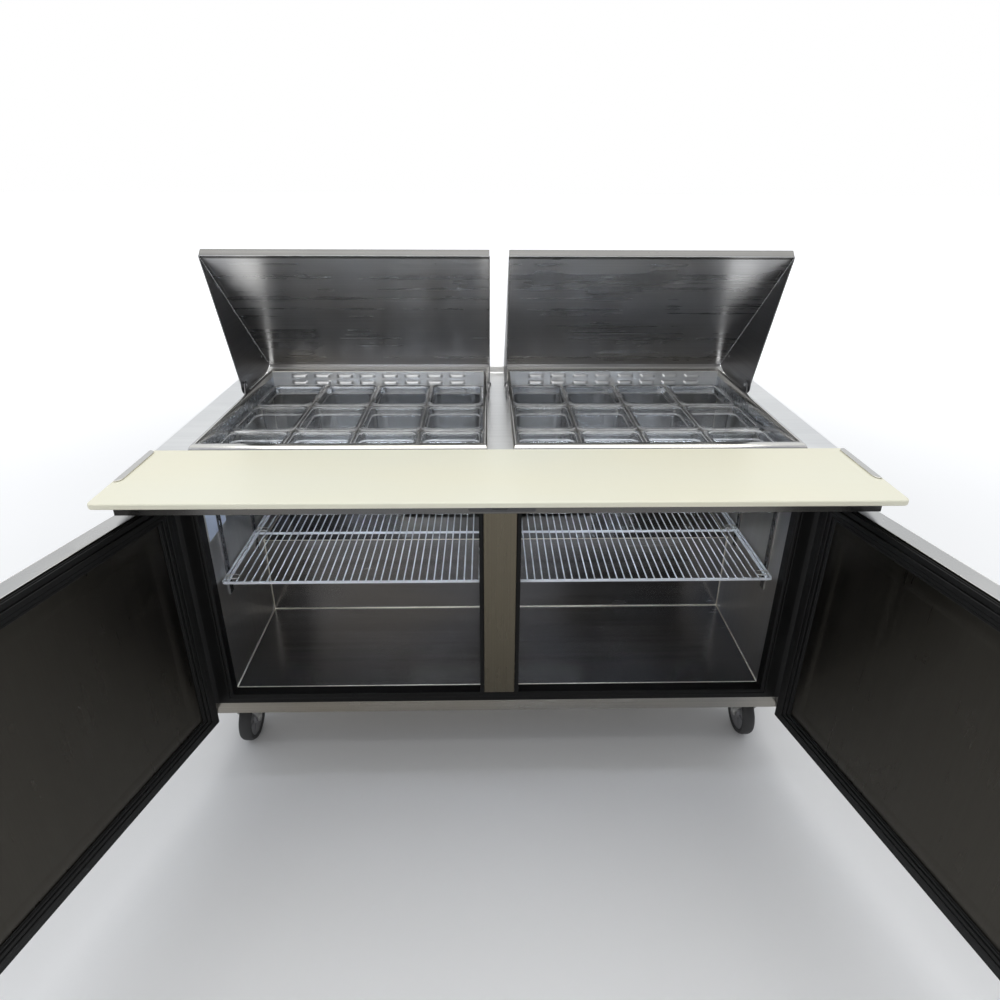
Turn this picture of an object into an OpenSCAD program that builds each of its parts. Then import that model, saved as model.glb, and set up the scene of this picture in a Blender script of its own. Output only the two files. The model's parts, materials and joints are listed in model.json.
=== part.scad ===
/* [Overall] */
// Width across the side panels
table_w = 1529; // [1500:1:1560]
// Height of the cutting board's top above the floor
work_h = 914; // [880:1:940]
// Depth of the body from the front rail to the back panel
body_d = 785; // [770:1:820]
// Height of the cabinet's underside above the floor
caster_h = 168; // [160:1:180]
// Thickness of the outer sheet metal
sheet_t = 1.5; // [1:0.1:2]

/* [Cutting board] */
// Length of the cutting board
board_w = 1524; // [1480:1:1526]
// Depth of the cutting board, front to back
board_d = 246; // [200:1:260]
// Thickness of the cutting board
board_t = 13; // [10:1:20]
// How far the board stands out in front of the rail
board_overhang = 80; // [40:1:100]

/* [Worktop and wells] */
// Thickness of the insulated top
slab_t = 55.5; // [45:0.5:70]
// Distance of each well's centre from the table's centre
well_cx = 355.7; // [350:0.1:358]
// Inner width of a well
well_w = 632.6; // [630:0.1:640]
// Inner length of a well, front to back
well_l = 550.5; // [545:0.5:556]
// Width of the raised frame beside a well
frame_side = 10.5; // [8:0.5:12]
// Width of the raised frame in front of a well
frame_front = 26; // [20:1:28]
// Width of the raised frame behind a well
frame_rear = 34; // [25:1:34]
// Height of the raised frame above the worktop
frame_h = 17; // [12:1:20]
// Height of the lip along the back of the worktop
rear_lip_h = 20; // [10:1:24]

/* [Pans] */
// Depth of a pan from its lip to its bottom
pan_depth = 150; // [65:1:150]
// Wall thickness of a pan
pan_wall = 2.5; // [2:0.5:3]
// Depth of the pan lips below the top of the raised frame
pan_drop = 44; // [40:1:55]

/* [Hoods] */
// Width of a hood over its wings
hood_w = 668; // [664:1:670]
// Length of the hood's sloping panel
hood_len = 519; // [500:1:525]
// Thickness of the hood's insulated panel
hood_t = 20; // [15:1:22]
// Slope of the open hood's panel above level
hood_slope = 44.7; // [43:0.1:46]

/* [Doors and cabinet] */
// Setback of the cabinet's front face behind the rail
cabinet_setback = 158; // [150:1:165]
// Thickness of a door without its gasket
door_t = 41; // [38:1:44]
// Opening of the left door
left_open = 107; // [90:1:110]
// Opening of the right door
right_open = 104; // [90:1:110]
// Inner width of the cabinet
inside_w = 1367; // [1350:1:1370]
// Height of the shelves' front bar above the floor
shelf_z = 544; // [400:1:600]
// Width of the centre post with its black strips
mullion_w = 98; // [90:1:104]

/* [Casters] */
// Radius of a caster wheel
wheel_r = 62.5; // [60:0.5:64]
// Width of a caster wheel
wheel_w = 32; // [28:1:34]

/* [Hidden] */
$fn = 48;

gap = 0.3;                 // clearance between pieces that move against each other
pin_fit = 0.05;            // radial clearance of a pin in its hole
half_w = table_w / 2;
front_y = -body_d / 2;
back_y = body_d / 2;
deck_z = work_h - board_t;
slab_z = deck_z - slab_t;
board_front = front_y - board_overhang;
board_back = board_front + board_d;

// wells
well_hx = well_w / 2;
well_front = front_y + 194;
well_back = well_front + well_l;
frame_hx = well_hx + frame_side;
frame_top = deck_z + frame_h;
lip_z = frame_top - pan_drop;
wall_t = 1.2;              // thickness of the wells' inner sheet
columns = 4;
rows = 3;
pitch_x = well_w / columns;
pitch_y = well_l / rows;
pan_lip_t = 2.5;
pan_size = [pitch_x - 2.2, pitch_y - 6.5];
pan_body = [pitch_x - 12, pitch_y - 18.5];
divider_top = lip_z - pan_lip_t - gap;
divider_h = 8;

// cabinet
cab_front = front_y + cabinet_setback;
inside_x = inside_w / 2;
floor_z = 228;
ceiling_z = slab_z - 2.5;
breaker_w = 28;            // height and depth of the black strips round the door openings
jamb_w = 39;               // width of the strip at either side
riser_y = 119.5;
ledge_z = 472;
inner_back = 352.5;
bay_top = 424;
bay_front = 166;
base_rail_top = 202;
mullion_face = mullion_w / 2 - 10;   // half the width of the post's steel face
mullion_d = 34;

// doors
door_top = 832;
door_bottom = caster_h + 16;
door_x = [2, half_w - 1.5];
door_back = cab_front - 12;
door_front = door_back - door_t;
hinge_x = door_x[1] - 15;
hinge_y = door_front + 7;
hinge_r = 5;
hinge_reach = 20;

// hoods, measured from the pivot pin
pin_y = front_y + 558;
pin_z = deck_z + 31;
pin_r = 4;
foot = [219, -4];
tip = foot + hood_len * [-cos(hood_slope), sin(hood_slope)];
hood_out = hood_t * [sin(hood_slope), cos(hood_slope)];
wing_t = 1.2;

// shelves
shelf_depth = [front_y + 200, front_y + 662.5];
shelf_x = [16, inside_x - 7.5];
bar_r = 3.5;
wire_r = 1.8;
wire_pitch = 18.5;

// casters
caster_x = 690;
caster_y = [-180, 325];
trail = 38;
king_r = 8;
axle_r = 6;

// ---- shared shapes ----
module block(lo, hi) { translate(lo) cube(hi - lo); }

module block_tube(lo, hi, t) {
    difference() {
        block(lo, hi);
        block(lo + [t, t, t], hi - [t, t, t]);
    }
}

module round_rect(size, r) {
    square([size[0] - 2 * r, size[1]], center = true);
    square([size[0], size[1] - 2 * r], center = true);
    for (sx = [-1, 1], sy = [-1, 1])
        translate([sx * (size[0] / 2 - r), sy * (size[1] / 2 - r)]) circle(r);
}

module along_x(x0, x1, r, y = 0, z = 0) {
    translate([x0, y, z]) rotate([0, 90, 0]) cylinder(r = r, h = x1 - x0);
}

module along_y(y0, y1, r, x = 0, z = 0) {
    translate([x, y0, z]) rotate([-90, 0, 0]) cylinder(r = r, h = y1 - y0);
}

// a plate whose outline is drawn in y and z
module side_plate(x0, x1, points) {
    translate([x0, 0, 0]) rotate([90, 0, 90]) linear_extrude(x1 - x0) polygon(points);
}

module both_sides() {
    children();
    mirror([1, 0, 0]) children();
}

module at_well(side) { translate([side * well_cx, 0, 0]) children(); }

module each_well() {
    for (side = [-1, 1]) at_well(side) children();
}

module well_hole(grow, z0, z1) {
    block([-well_hx - grow, well_front - grow, z0], [well_hx + grow, well_back + grow, z1]);
}

// ---- worktop ----
module worktop() {
    color("silver") {
        difference() {
            block([-half_w, board_back, slab_z], [half_w, back_y, deck_z]);
            block([-half_w + sheet_t, board_back + sheet_t, slab_z - 1],
                [half_w - sheet_t, back_y - sheet_t, deck_z - sheet_t]);
            each_well() well_hole(wall_t, deck_z - 2 * sheet_t, deck_z + 1);
        }
        block([-half_w, back_y - 6, deck_z], [half_w, back_y, deck_z + rear_lip_h]);
    }
}

module front_rail() {
    color("silver")
        block_tube([-half_w, front_y, slab_z], [half_w, board_back, deck_z], sheet_t);
}

module badge_plate() {
    color("dimgray") block([-67, front_y - 2, slab_z + 5], [67, front_y, slab_z + 44]);
    color("lightgray") block([-20, front_y - 3, slab_z + 9], [12, front_y - 2, slab_z + 40]);
}

module board_bracket() {
    leg = half_w + 2.5;
    block([half_w - 24, front_y + 10, work_h + 0.6], [leg, front_y + 160, work_h + 2.6]);
    block([half_w, front_y + 10, deck_z - 28], [leg, front_y + 160, work_h + 0.6]);
    for (y = [45, 125]) along_x(leg, leg + 2, 5, front_y + y, deck_z - 15);
}

module board_brackets() { color("gray") both_sides() board_bracket(); }

module cutting_board() {
    color("ivory") translate([0, (board_front + board_back) / 2, deck_z + gap])
        linear_extrude(board_t - gap) round_rect([board_w, board_d], 12);
}

// ---- wells ----
module well_frame() {
    outer_front = well_front - frame_front;
    difference() {
        block([-frame_hx, outer_front, deck_z], [frame_hx, well_back + frame_rear, frame_top]);
        well_hole(0, deck_z - 1, frame_top + 1);
        side_plate(-frame_hx - 1, frame_hx + 1, [[outer_front - 1, frame_top - 6],
            [outer_front + 7, frame_top + 2], [outer_front - 1, frame_top + 2]]);
    }
}

module well_frames() { color("lightgray") each_well() well_frame(); }

// inner sheet of a well, with the ledge that the dividers sit on and the slotted rear wall
module well_liner() {
    ledge_w = 6;
    louvre = [48, 4];
    louvre_pitch = 67.6;
    rear_y = well_back - wall_t - gap;
    difference() {
        well_hole(wall_t, slab_z, deck_z);
        well_hole(0, slab_z - 1, deck_z + 1);
    }
    difference() {
        well_hole(0, divider_top - divider_h - 3, divider_top - divider_h);
        well_hole(-ledge_w, slab_z - 1, deck_z);
    }
    difference() {
        block([-well_hx, rear_y, divider_top], [well_hx, well_back, frame_top]);
        for (i = [0:7], z = [frame_top - 15, frame_top - 36])
            translate([(i - 3.5) * louvre_pitch, rear_y - 1, z])
                translate([-louvre[0] / 2, 0, -louvre[1] / 2]) cube([louvre[0], 5, louvre[1]]);
    }
}

module well_liners() { color("silver") each_well() well_liner(); }

module pan_divider() {
    z0 = divider_top - divider_h;
    for (i = [1:columns - 1])
        translate([i * pitch_x - well_hx, 0, 0])
            block([-4, well_front, z0], [4, well_back - wall_t - gap, divider_top]);
    for (j = [1:rows - 1])
        translate([0, well_front + j * pitch_y, 0])
            block([-well_hx, -6, z0], [well_hx, 6, divider_top]);
}

module pan_dividers() { color("gainsboro") each_well() pan_divider(); }

// ---- pans ----
module pan() {
    corner = 18;
    difference() {
        union() {
            translate([0, 0, lip_z - pan_depth]) linear_extrude(pan_depth) round_rect(pan_body, corner);
            translate([0, 0, lip_z - pan_lip_t]) linear_extrude(pan_lip_t) round_rect(pan_size, corner + 3);
        }
        translate([0, 0, lip_z - pan_depth + pan_wall]) linear_extrude(pan_depth)
            round_rect(pan_body - 2 * pan_wall * [1, 1], corner - pan_wall);
    }
}

module pan_row(side, row) {
    color("azure", 0.5) at_well(side)
        for (i = [0:columns - 1])
            translate([(i + 0.5) * pitch_x - well_hx, well_front + (row + 0.5) * pitch_y - 0.6, 0]) pan();
}

// ---- hoods ----
module hood_panel(side) {
    inner = hood_w / 2 - wing_t;
    skin = 1.2;
    flange = 7.5;              // hangs from the panel's foot, over the rear of the raised frame
    color("silver") at_well(side) translate([0, pin_y, pin_z]) {
        difference() {
            side_plate(-inner, inner, [foot, tip, tip + hood_out, foot + hood_out]);
            translate([0, foot[0], foot[1]]) rotate([-hood_slope, 0, 0]) mirror([0, 1, 0])
                block([-inner + skin, skin, skin], [inner - skin, hood_len - skin, hood_t - skin]);
        }
        side_plate(-inner, inner,
            [foot + [-1.5, -flange], foot + [0, -flange], foot + [0.3, 0.3], foot + [-0.6, 0.6]]);
    }
}

module hood_wing() {
    ear_r = 22;
    head_r = 9;
    outer = hood_w / 2;
    side_plate(outer - wing_t, outer, [tip, foot, [0, -ear_r], [-ear_r, 0]]);
    along_x(outer - wing_t, outer, ear_r);
    along_x(frame_hx + 0.1, outer + 4, pin_r);
    along_x(outer, outer + 4, head_r);
}

module hood_wings(side) {
    color("gray") at_well(side) translate([0, pin_y, pin_z]) both_sides() hood_wing();
}

module hood_bracket() {
    plate_t = 3;
    difference() {
        side_plate(frame_hx, frame_hx + plate_t, [[pin_y - 20, deck_z], [pin_y + 20, deck_z],
            [pin_y + 12, pin_z + 12], [pin_y - 12, pin_z + 12]]);
        along_x(frame_hx - 1, frame_hx + plate_t + 1, pin_r + pin_fit, pin_y, pin_z);
    }
}

module hood_brackets() { color("gray") each_well() both_sides() hood_bracket(); }

// ---- cabinet shell ----
module side_panel() {
    block([half_w - sheet_t, cab_front, caster_h], [half_w, back_y, slab_z]);
    block([inside_x + jamb_w, cab_front, base_rail_top], [half_w - sheet_t, cab_front + sheet_t, slab_z]);
}

module side_panels() { color("silver") both_sides() side_panel(); }

module back_panel() {
    color("silver") block([-half_w + sheet_t, back_y - sheet_t, bay_top],
        [half_w - sheet_t, back_y, slab_z]);
}

module rear_grille() {
    slot = [150, 7];
    color("gray") difference() {
        block([-half_w + sheet_t, back_y - sheet_t, caster_h + sheet_t],
            [half_w - sheet_t, back_y, bay_top]);
        for (x = [-570, -190, 190], z = [215:22:391])
            translate([x, back_y - 5, z]) cube([slot[0], 10, slot[1]]);
    }
}

module base_pan() {
    inner = half_w - sheet_t;
    color("silver") {
        block([-inner, cab_front, caster_h], [inner, back_y - sheet_t, caster_h + sheet_t]);
        block([-inner, cab_front, caster_h], [inner, cab_front + sheet_t, base_rail_top]);
        block([-inner, cab_front, base_rail_top - sheet_t], [inner, cab_front + breaker_w, base_rail_top]);
    }
}

module insulation() {
    skin = inside_x + 2;
    between = inside_x - 0.5;
    low = caster_h + sheet_t + 0.5;
    inner_front = cab_front + breaker_w + 0.5;
    back = back_y - sheet_t - 0.5;
    color("khaki") {
        both_sides() block([skin, inner_front, low], [half_w - sheet_t - 0.5, back, slab_z]);
        block([-skin, inner_front, low], [skin, riser_y + 2, floor_z - 2]);
        block([-between, riser_y + 2, low], [between, bay_front, ledge_z - 2]);
        block([-between, bay_front, bay_top + 1], [between, back, ledge_z - 2]);
        block([-skin, inner_back + 2, ledge_z - 2], [skin, back, slab_z]);
        difference() {
            block([-half_w + 2, board_back + 2, slab_z], [half_w - 2, back_y - 2, deck_z - 2]);
            each_well() well_hole(wall_t + 0.5, slab_z - 1, deck_z);
        }
    }
}

// ---- cabinet liner ----
module liner_floor() {
    color("silver") block([-inside_x, cab_front + breaker_w, floor_z - sheet_t], [inside_x, riser_y, floor_z]);
}

module liner_walls() {
    color("silver") both_sides()
        block([inside_x, cab_front + breaker_w, floor_z - sheet_t],
            [inside_x + sheet_t, inner_back, ceiling_z]);
}

module liner_rear() {
    color("silver") {
        block([-inside_x, riser_y, floor_z - sheet_t], [inside_x, riser_y + sheet_t, ledge_z]);
        block([-inside_x, riser_y, ledge_z - sheet_t], [inside_x, inner_back, ledge_z]);
        block([-inside_x, inner_back, ledge_z - sheet_t], [inside_x, inner_back + sheet_t, ceiling_z]);
    }
}

module liner_ceiling() {
    color("silver") difference() {
        block([-inside_x, cab_front + breaker_w, ceiling_z], [inside_x, inner_back, ceiling_z + sheet_t]);
        each_well() well_hole(0, ceiling_z - 1, ceiling_z + 5);
    }
}

module breaker_frame() {
    deep = cab_front + breaker_w;
    color("black") {
        both_sides() {
            block([inside_x, cab_front, base_rail_top], [inside_x + jamb_w, deep, slab_z]);
            block([mullion_face, cab_front, floor_z], [mullion_w / 2, deep, slab_z - breaker_w]);
        }
        block([-inside_x, cab_front, base_rail_top], [inside_x, deep, floor_z]);
        block([-inside_x, cab_front, slab_z - breaker_w], [inside_x, deep, slab_z]);
    }
}

module mullion() {
    color("gray") block_tube([-mullion_face, cab_front, floor_z],
        [mullion_face, cab_front + mullion_d, slab_z - breaker_w], sheet_t);
}

// ---- shelves and their supports ----
standard_y = [front_y + 252.5, 60];
standard_z = shelf_z - 64;
module standard() {
    difference() {
        block([-10, 0, standard_z], [10, 3, ceiling_z - 40]);
        for (z = [standard_z + 18:25.4:ceiling_z - 60]) translate([-3, -1, z]) cube([6, 5, 13]);
    }
}

module clip(width) {
    translate([0, 0, shelf_z - bar_r - gap - 10]) block([-width / 2, -12, 0], [width / 2, 0, 10]);
}

module shelf_standards() {
    mullion_back = cab_front + mullion_d;
    color("lightgray") {
        both_sides() for (y = standard_y) {
            translate([inside_x, y, 0]) rotate([0, 0, 90]) standard();
            translate([inside_x - 3, y, 0]) rotate([0, 0, -90]) clip(14);
        }
        translate([0, mullion_back, 0]) standard();
        translate([0, mullion_back + 3, 0]) mirror([0, 1, 0]) clip(44);
        block([-7, standard_y[1] - 6, floor_z], [7, standard_y[1] + 6, ceiling_z]);
        for (s = [0, 1]) mirror([s, 0, 0]) translate([7, standard_y[1], 0]) rotate([0, 0, 90]) clip(20);
    }
}

module shelf() {
    wires = floor((shelf_x[1] - shelf_x[0] - 10) / wire_pitch);
    first = shelf_x[0] + (shelf_x[1] - shelf_x[0] - (wires - 1) * wire_pitch) / 2;
    middle = (shelf_depth[0] + shelf_depth[1]) / 2;
    wires_z = bar_r + wire_r - 0.8;    // welded 0.8 mm into the bars
    translate([0, 0, shelf_z]) {
        for (y = [shelf_depth[0], middle, shelf_depth[1]]) along_x(shelf_x[0], shelf_x[1], bar_r, y);
        for (x = shelf_x) along_y(shelf_depth[0], shelf_depth[1], bar_r, x);
        for (x = shelf_x, y = shelf_depth) translate([x, y, 0]) sphere(bar_r);
        for (i = [0:wires - 1])
            along_y(shelf_depth[0] - bar_r, shelf_depth[1] + bar_r, wire_r, first + i * wire_pitch, wires_z);
    }
}

module shelf_left() { color("white") mirror([1, 0, 0]) shelf(); }
module shelf_right() { color("white") shelf(); }

// ---- doors, drawn closed on the right and turned about their hinge pins ----
module place_door(side, open) {
    mirror([side < 0 ? 1 : 0, 0, 0])
        translate([hinge_x, hinge_y, 0]) rotate([0, 0, open]) translate([-hinge_x, -hinge_y, 0]) children();
}

grip = [26, 16, 150];      // width, depth and height of a door's finger pocket
grip_x = door_x[0] + 16;
grip_z = door_top - 230;
module door_shell() {
    t = 1.2;
    pocket_lo = [grip_x, door_front, grip_z];
    difference() {
        block([door_x[0], door_front, door_bottom], [door_x[1], door_back, door_top]);
        difference() {
            block([door_x[0] + t, door_front + t, door_bottom + t],
                [door_x[1] - t, door_back - t, door_top - t]);
            block(pocket_lo - [t, 0, t], pocket_lo + grip + [t, t, t]);
            for (z = [door_bottom, door_top - 26])
                block([hinge_x - 12, door_front, z], [door_x[1], hinge_y + 14, z + 26]);
        }
        block(pocket_lo - [0, 5, 0], pocket_lo + grip);
        for (z = [door_bottom - 1, door_top - 22])
            translate([hinge_x, hinge_y, z]) cylinder(r = hinge_r + pin_fit, h = 23);
    }
}

module door_liner() {
    edge = 52;
    block([door_x[0] + edge, door_back, door_bottom + edge],
        [door_x[1] - edge, door_back + 2, door_top - edge]);
}

module door_gasket() {
    inset = 4;
    width = 46;
    face = cab_front - 2;      // the gasket's rear corner swings past the cabinet as the door opens
    difference() {
        block([door_x[0] + inset, door_back, door_bottom + inset],
            [door_x[1] - inset, face, door_top - inset]);
        block([door_x[0] + inset + width, door_back - 1, door_bottom + inset + width],
            [door_x[1] - inset - width, face + 1, door_top - inset - width]);
    }
}

module door_hinge() {
    t = 4;
    left = hinge_x - 15;
    right = hinge_x + 15;
    reach = hinge_y - 17;
    low = door_bottom - t;
    pin_foot = door_top - hinge_reach;
    block([left, reach, slab_z - t], [right, cab_front, slab_z]);
    translate([hinge_x, hinge_y, pin_foot]) cylinder(r = hinge_r, h = slab_z - t - pin_foot);
    block([left, reach, low - t], [right, cab_front, low]);
    block([left, cab_front - t, caster_h], [right, cab_front, low]);
    translate([hinge_x, hinge_y, low]) cylinder(r = hinge_r, h = t + hinge_reach);
}

module door_hinges() { color("gray") both_sides() door_hinge(); }

// ---- refrigeration ----
module fin_coil(size, fins) {
    pitch = (size[0] - 1) / (fins - 1);
    for (i = [0:fins - 1]) translate([i * pitch, 0, 0]) cube([1, size[1], size[2]]);
    for (j = [0:3]) along_x(-6, size[0] + 6, 5, size[1] / 2, (j + 0.5) * size[2] / 4);
}

module fan(r, hub_r, thick, bore) {
    difference() {
        union() {
            cylinder(r = hub_r, h = thick);
            for (a = [0:72:288]) rotate([0, 0, a])
                translate([hub_r - 3, 0, thick / 2]) rotate([28, 0, 0])
                    translate([0, -thick, -0.8]) cube([r - hub_r + 3, 2 * thick, 1.6]);
        }
        translate([0, 0, -1]) cylinder(r = bore, h = thick + 2);
    }
}

shaft_r = 4;
evap_front = 276;
evap_hx = 304;
evap_z = [488, 692];
evap_fan_z = (evap_z[0] + evap_z[1]) / 2;
evap_fan_r = 68;
coil_back = 348;
module evaporator_coil() {
    size = [580, 30, 186];
    color("lightsteelblue")
        translate([-size[0] / 2, coil_back - size[1], evap_z[0] + 8]) fin_coil(size, 30);
}

module evaporator_case() {
    low = [-evap_hx, evap_front, evap_z[0]];
    high = [evap_hx, inner_back, evap_z[1]];
    motor_y = evap_front + 22;
    color("gainsboro") {
        difference() {
            block(low, high);
            block(low + sheet_t * [1, 1, 1], high + [-sheet_t, 1, -sheet_t]);
            along_y(evap_front - 1, evap_front + 3, evap_fan_r + 6, 0, evap_fan_z);
            for (x = [-280:20:280]) translate([x - 5, motor_y + 2, high[2] - 3]) cube([10, 40, 6]);
        }
        block([-6, motor_y + 8, low[2]], [6, motor_y + 12, high[2]]);
        along_y(motor_y, motor_y + 18, 22, 0, evap_fan_z);
        along_y(evap_front + 4, motor_y, shaft_r, 0, evap_fan_z);
    }
}

module evaporator_fan() {
    color("dimgray") translate([0, evap_front + 6, evap_fan_z]) rotate([-90, 0, 0])
        fan(evap_fan_r, 18, 12, shaft_r + pin_fit);
}

// the condensing unit stands on a tray in the rear bay
tray_top = caster_h + sheet_t + 4;
blower = [138, 280, tray_top + 105];
blower_r = 82;
shroud_x = 114;
module machine_tray() {
    motor_x = blower[0] + 22;
    shroud_hy = 94;
    color("gray") {
        block([-450, 178, caster_h + sheet_t + 0.5], [450, 386, tray_top]);
        difference() {
            block([shroud_x, blower[1] - shroud_hy, tray_top],
                [shroud_x + 2, blower[1] + shroud_hy, tray_top + 206]);
            along_x(shroud_x - 4, shroud_x + 6, blower_r + 6, blower[1], blower[2]);
        }
        block([motor_x + 16, blower[1] - 10, tray_top], [motor_x + 22, blower[1] + 10, blower[2]]);
        along_x(motor_x, motor_x + 45, 30, blower[1], blower[2]);
        along_x(blower[0] - 4, motor_x, shaft_r, blower[1], blower[2]);
    }
}

module condenser_fan() {
    color("black") translate(blower) rotate([0, 90, 0]) fan(blower_r, 20, 14, shaft_r + pin_fit);
}

module condenser_coil() {
    size = [180, 44, 200];
    color("black") translate([shroud_x - 10 - size[1], blower[1] - size[0] / 2, tray_top + 0.5])
        rotate([0, 0, 90]) mirror([0, 1, 0]) fin_coil(size, 16);
}

compressor_at = [-240, 282, tray_top];
shell_r = 80;
shell_h = 160;
foot_h = 16;
module compressor() {
    base_round = 20;
    top_round = 40;
    side = shell_r - base_round;
    crown = shell_r - top_round;
    color([0.1, 0.1, 0.1]) translate(compressor_at) {
        for (a = [45:90:315]) rotate([0, 0, a]) translate([shell_r + 8, 0, 0]) cylinder(r = 12, h = foot_h);
        translate([0, 0, foot_h - 2]) cylinder(r = shell_r + 18, h = 3);
        translate([0, 0, foot_h]) rotate_extrude() polygon(concat([[0, 0], [side, 0]],
            [for (a = [15:15:90]) [side + base_round * cos(a - 90), base_round + base_round * sin(a - 90)]],
            [for (a = [0:10:90]) [crown + top_round * cos(a), shell_h - top_round + top_round * sin(a)]],
            [[0, shell_h]]));
        translate([shell_r - 10, -20, 70]) cube([30, 40, 60]);
    }
}

module tube_run(points, r) {
    for (i = [0:len(points) - 2]) {
        step = points[i + 1] - points[i];
        translate(points[i]) rotate([0, acos(step[2] / norm(step)), atan2(step[1], step[0])])
            cylinder(r = r, h = norm(step), $fn = 24);
        translate(points[i]) sphere(r, $fn = 24);
    }
    translate(points[len(points) - 1]) sphere(r, $fn = 24);
}

module refrigerant_lines() {
    tube_r = 4.5;
    hot_z = 390;
    cold_z = 400;
    down_x = 30;
    drop = 60;
    x = compressor_at[0];
    y = compressor_at[1];
    out_x = x - shell_r - 25;
    suction_z = tray_top + 86.5;
    rear_y = 374;
    color("peru") {
        tube_run([[x, y, tray_top + foot_h + shell_h + 6], [x, y, hot_z],
            [down_x, y, hot_z], [down_x, y, hot_z - drop]], tube_r);
        tube_run([[x - shell_r - 7, y, suction_z], [out_x, y, suction_z], [out_x, y, cold_z],
            [out_x, rear_y, cold_z], [down_x, rear_y, cold_z], [down_x, rear_y, cold_z - drop]], tube_r);
    }
}

module control_box() {
    color("lightgray") block_tube([300, 300, tray_top + 0.5], [430, 380, tray_top + 130], 2);
}

module power_inlet() {
    low = [500, back_y, 290];
    high = [560, back_y + 9, 340];
    rim = 12;
    color("black") difference() {
        block(low, high);
        block(low + [rim, 2, rim], high + [-rim, 1, -rim]);
    }
}

// ---- casters ----
module at_caster(side, rank) { translate([side * caster_x, caster_y[rank], 0]) children(); }

module caster_plate() {
    plate = 50;
    difference() {
        block([-plate, -plate, caster_h - 4], [plate, plate, caster_h]);
        translate([0, 0, caster_h - 5]) cylinder(r = king_r + pin_fit, h = 6);
    }
}

module caster_plates() {
    color("silver") for (side = [-1, 1], rank = [0, 1]) at_caster(side, rank) caster_plate();
}

module caster_fork(braked) {
    leg_in = wheel_w / 2 + 3;
    leg_out = leg_in + 3;
    crown = caster_h - 4 - gap;
    both_sides() side_plate(leg_in, leg_out, [[-28, crown - 3], [28, crown - 3], [trail + 15, wheel_r + 4],
        [trail + 8, wheel_r - 14], [trail - 8, wheel_r - 14], [trail - 16, wheel_r + 4]]);
    block([-leg_out, -28, crown - 6], [leg_out, 28, crown - 3]);
    translate([0, 0, crown - 6]) cylinder(r = 32, h = 6);
    translate([0, 0, crown - 1]) cylinder(r = king_r, h = caster_h - crown + 0.5);
    along_x(-leg_out - 3, leg_out + 3, axle_r, trail, wheel_r);
    if (braked) {
        both_sides() block([leg_in, 20, crown - 26], [leg_out, 112, crown - 18]);
        block([-leg_out, 104, crown - 30], [leg_out, 128, crown - 18]);
    }
}

module caster_wheel() {
    translate([0, trail, wheel_r]) difference() {
        union() {
            along_x(-wheel_w / 2, wheel_w / 2, wheel_r - 3);
            along_x(-wheel_w / 2 + 5, wheel_w / 2 - 5, wheel_r);
            along_x(-wheel_w / 2 - 2, wheel_w / 2 + 2, 16);
        }
        along_x(-wheel_w, wheel_w, axle_r + pin_fit);
    }
}

module fork(side, rank) { color("silver") at_caster(side, rank) caster_fork(rank == 0); }
module wheel(side, rank) { color("dimgray") at_caster(side, rank) caster_wheel(); }

worktop();
front_rail();
badge_plate();
board_brackets();
well_frames();
well_liners();
pan_dividers();
side_panels();
back_panel();
rear_grille();
base_pan();
insulation();
liner_floor();
liner_walls();
liner_rear();
liner_ceiling();
breaker_frame();
mullion();
shelf_standards();
evaporator_coil();
evaporator_case();
compressor();
condenser_coil();
refrigerant_lines();
machine_tray();
control_box();
power_inlet();
door_hinges();
hood_brackets();
caster_plates();
cutting_board();
pan_row(-1, 0);  // pans_left_front
pan_row(-1, 1);  // pans_left_middle
pan_row(-1, 2);  // pans_left_rear
pan_row(1, 0);  // pans_right_front
pan_row(1, 1);  // pans_right_middle
pan_row(1, 2);  // pans_right_rear
hood_panel(-1);  // hood_left_panel
hood_wings(-1);  // hood_left_wings
hood_panel(1);  // hood_right_panel
hood_wings(1);  // hood_right_wings
color("silver") place_door(-1, left_open) door_shell();  // door_left_shell
color("dimgray") place_door(-1, left_open) door_liner();  // door_left_liner
color("black") place_door(-1, left_open) door_gasket();  // door_left_gasket
color("silver") place_door(1, right_open) door_shell();  // door_right_shell
color("dimgray") place_door(1, right_open) door_liner();  // door_right_liner
color("black") place_door(1, right_open) door_gasket();  // door_right_gasket
shelf_left();
shelf_right();
fork(-1, 0);  // fork_front_left
fork(1, 0);  // fork_front_right
fork(-1, 1);  // fork_rear_left
fork(1, 1);  // fork_rear_right
wheel(-1, 0);  // wheel_front_left
wheel(1, 0);  // wheel_front_right
wheel(-1, 1);  // wheel_rear_left
wheel(1, 1);  // wheel_rear_right
evaporator_fan();
condenser_fan();
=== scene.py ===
import json
import math

import bmesh
import bpy
from mathutils import Matrix, Vector


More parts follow.
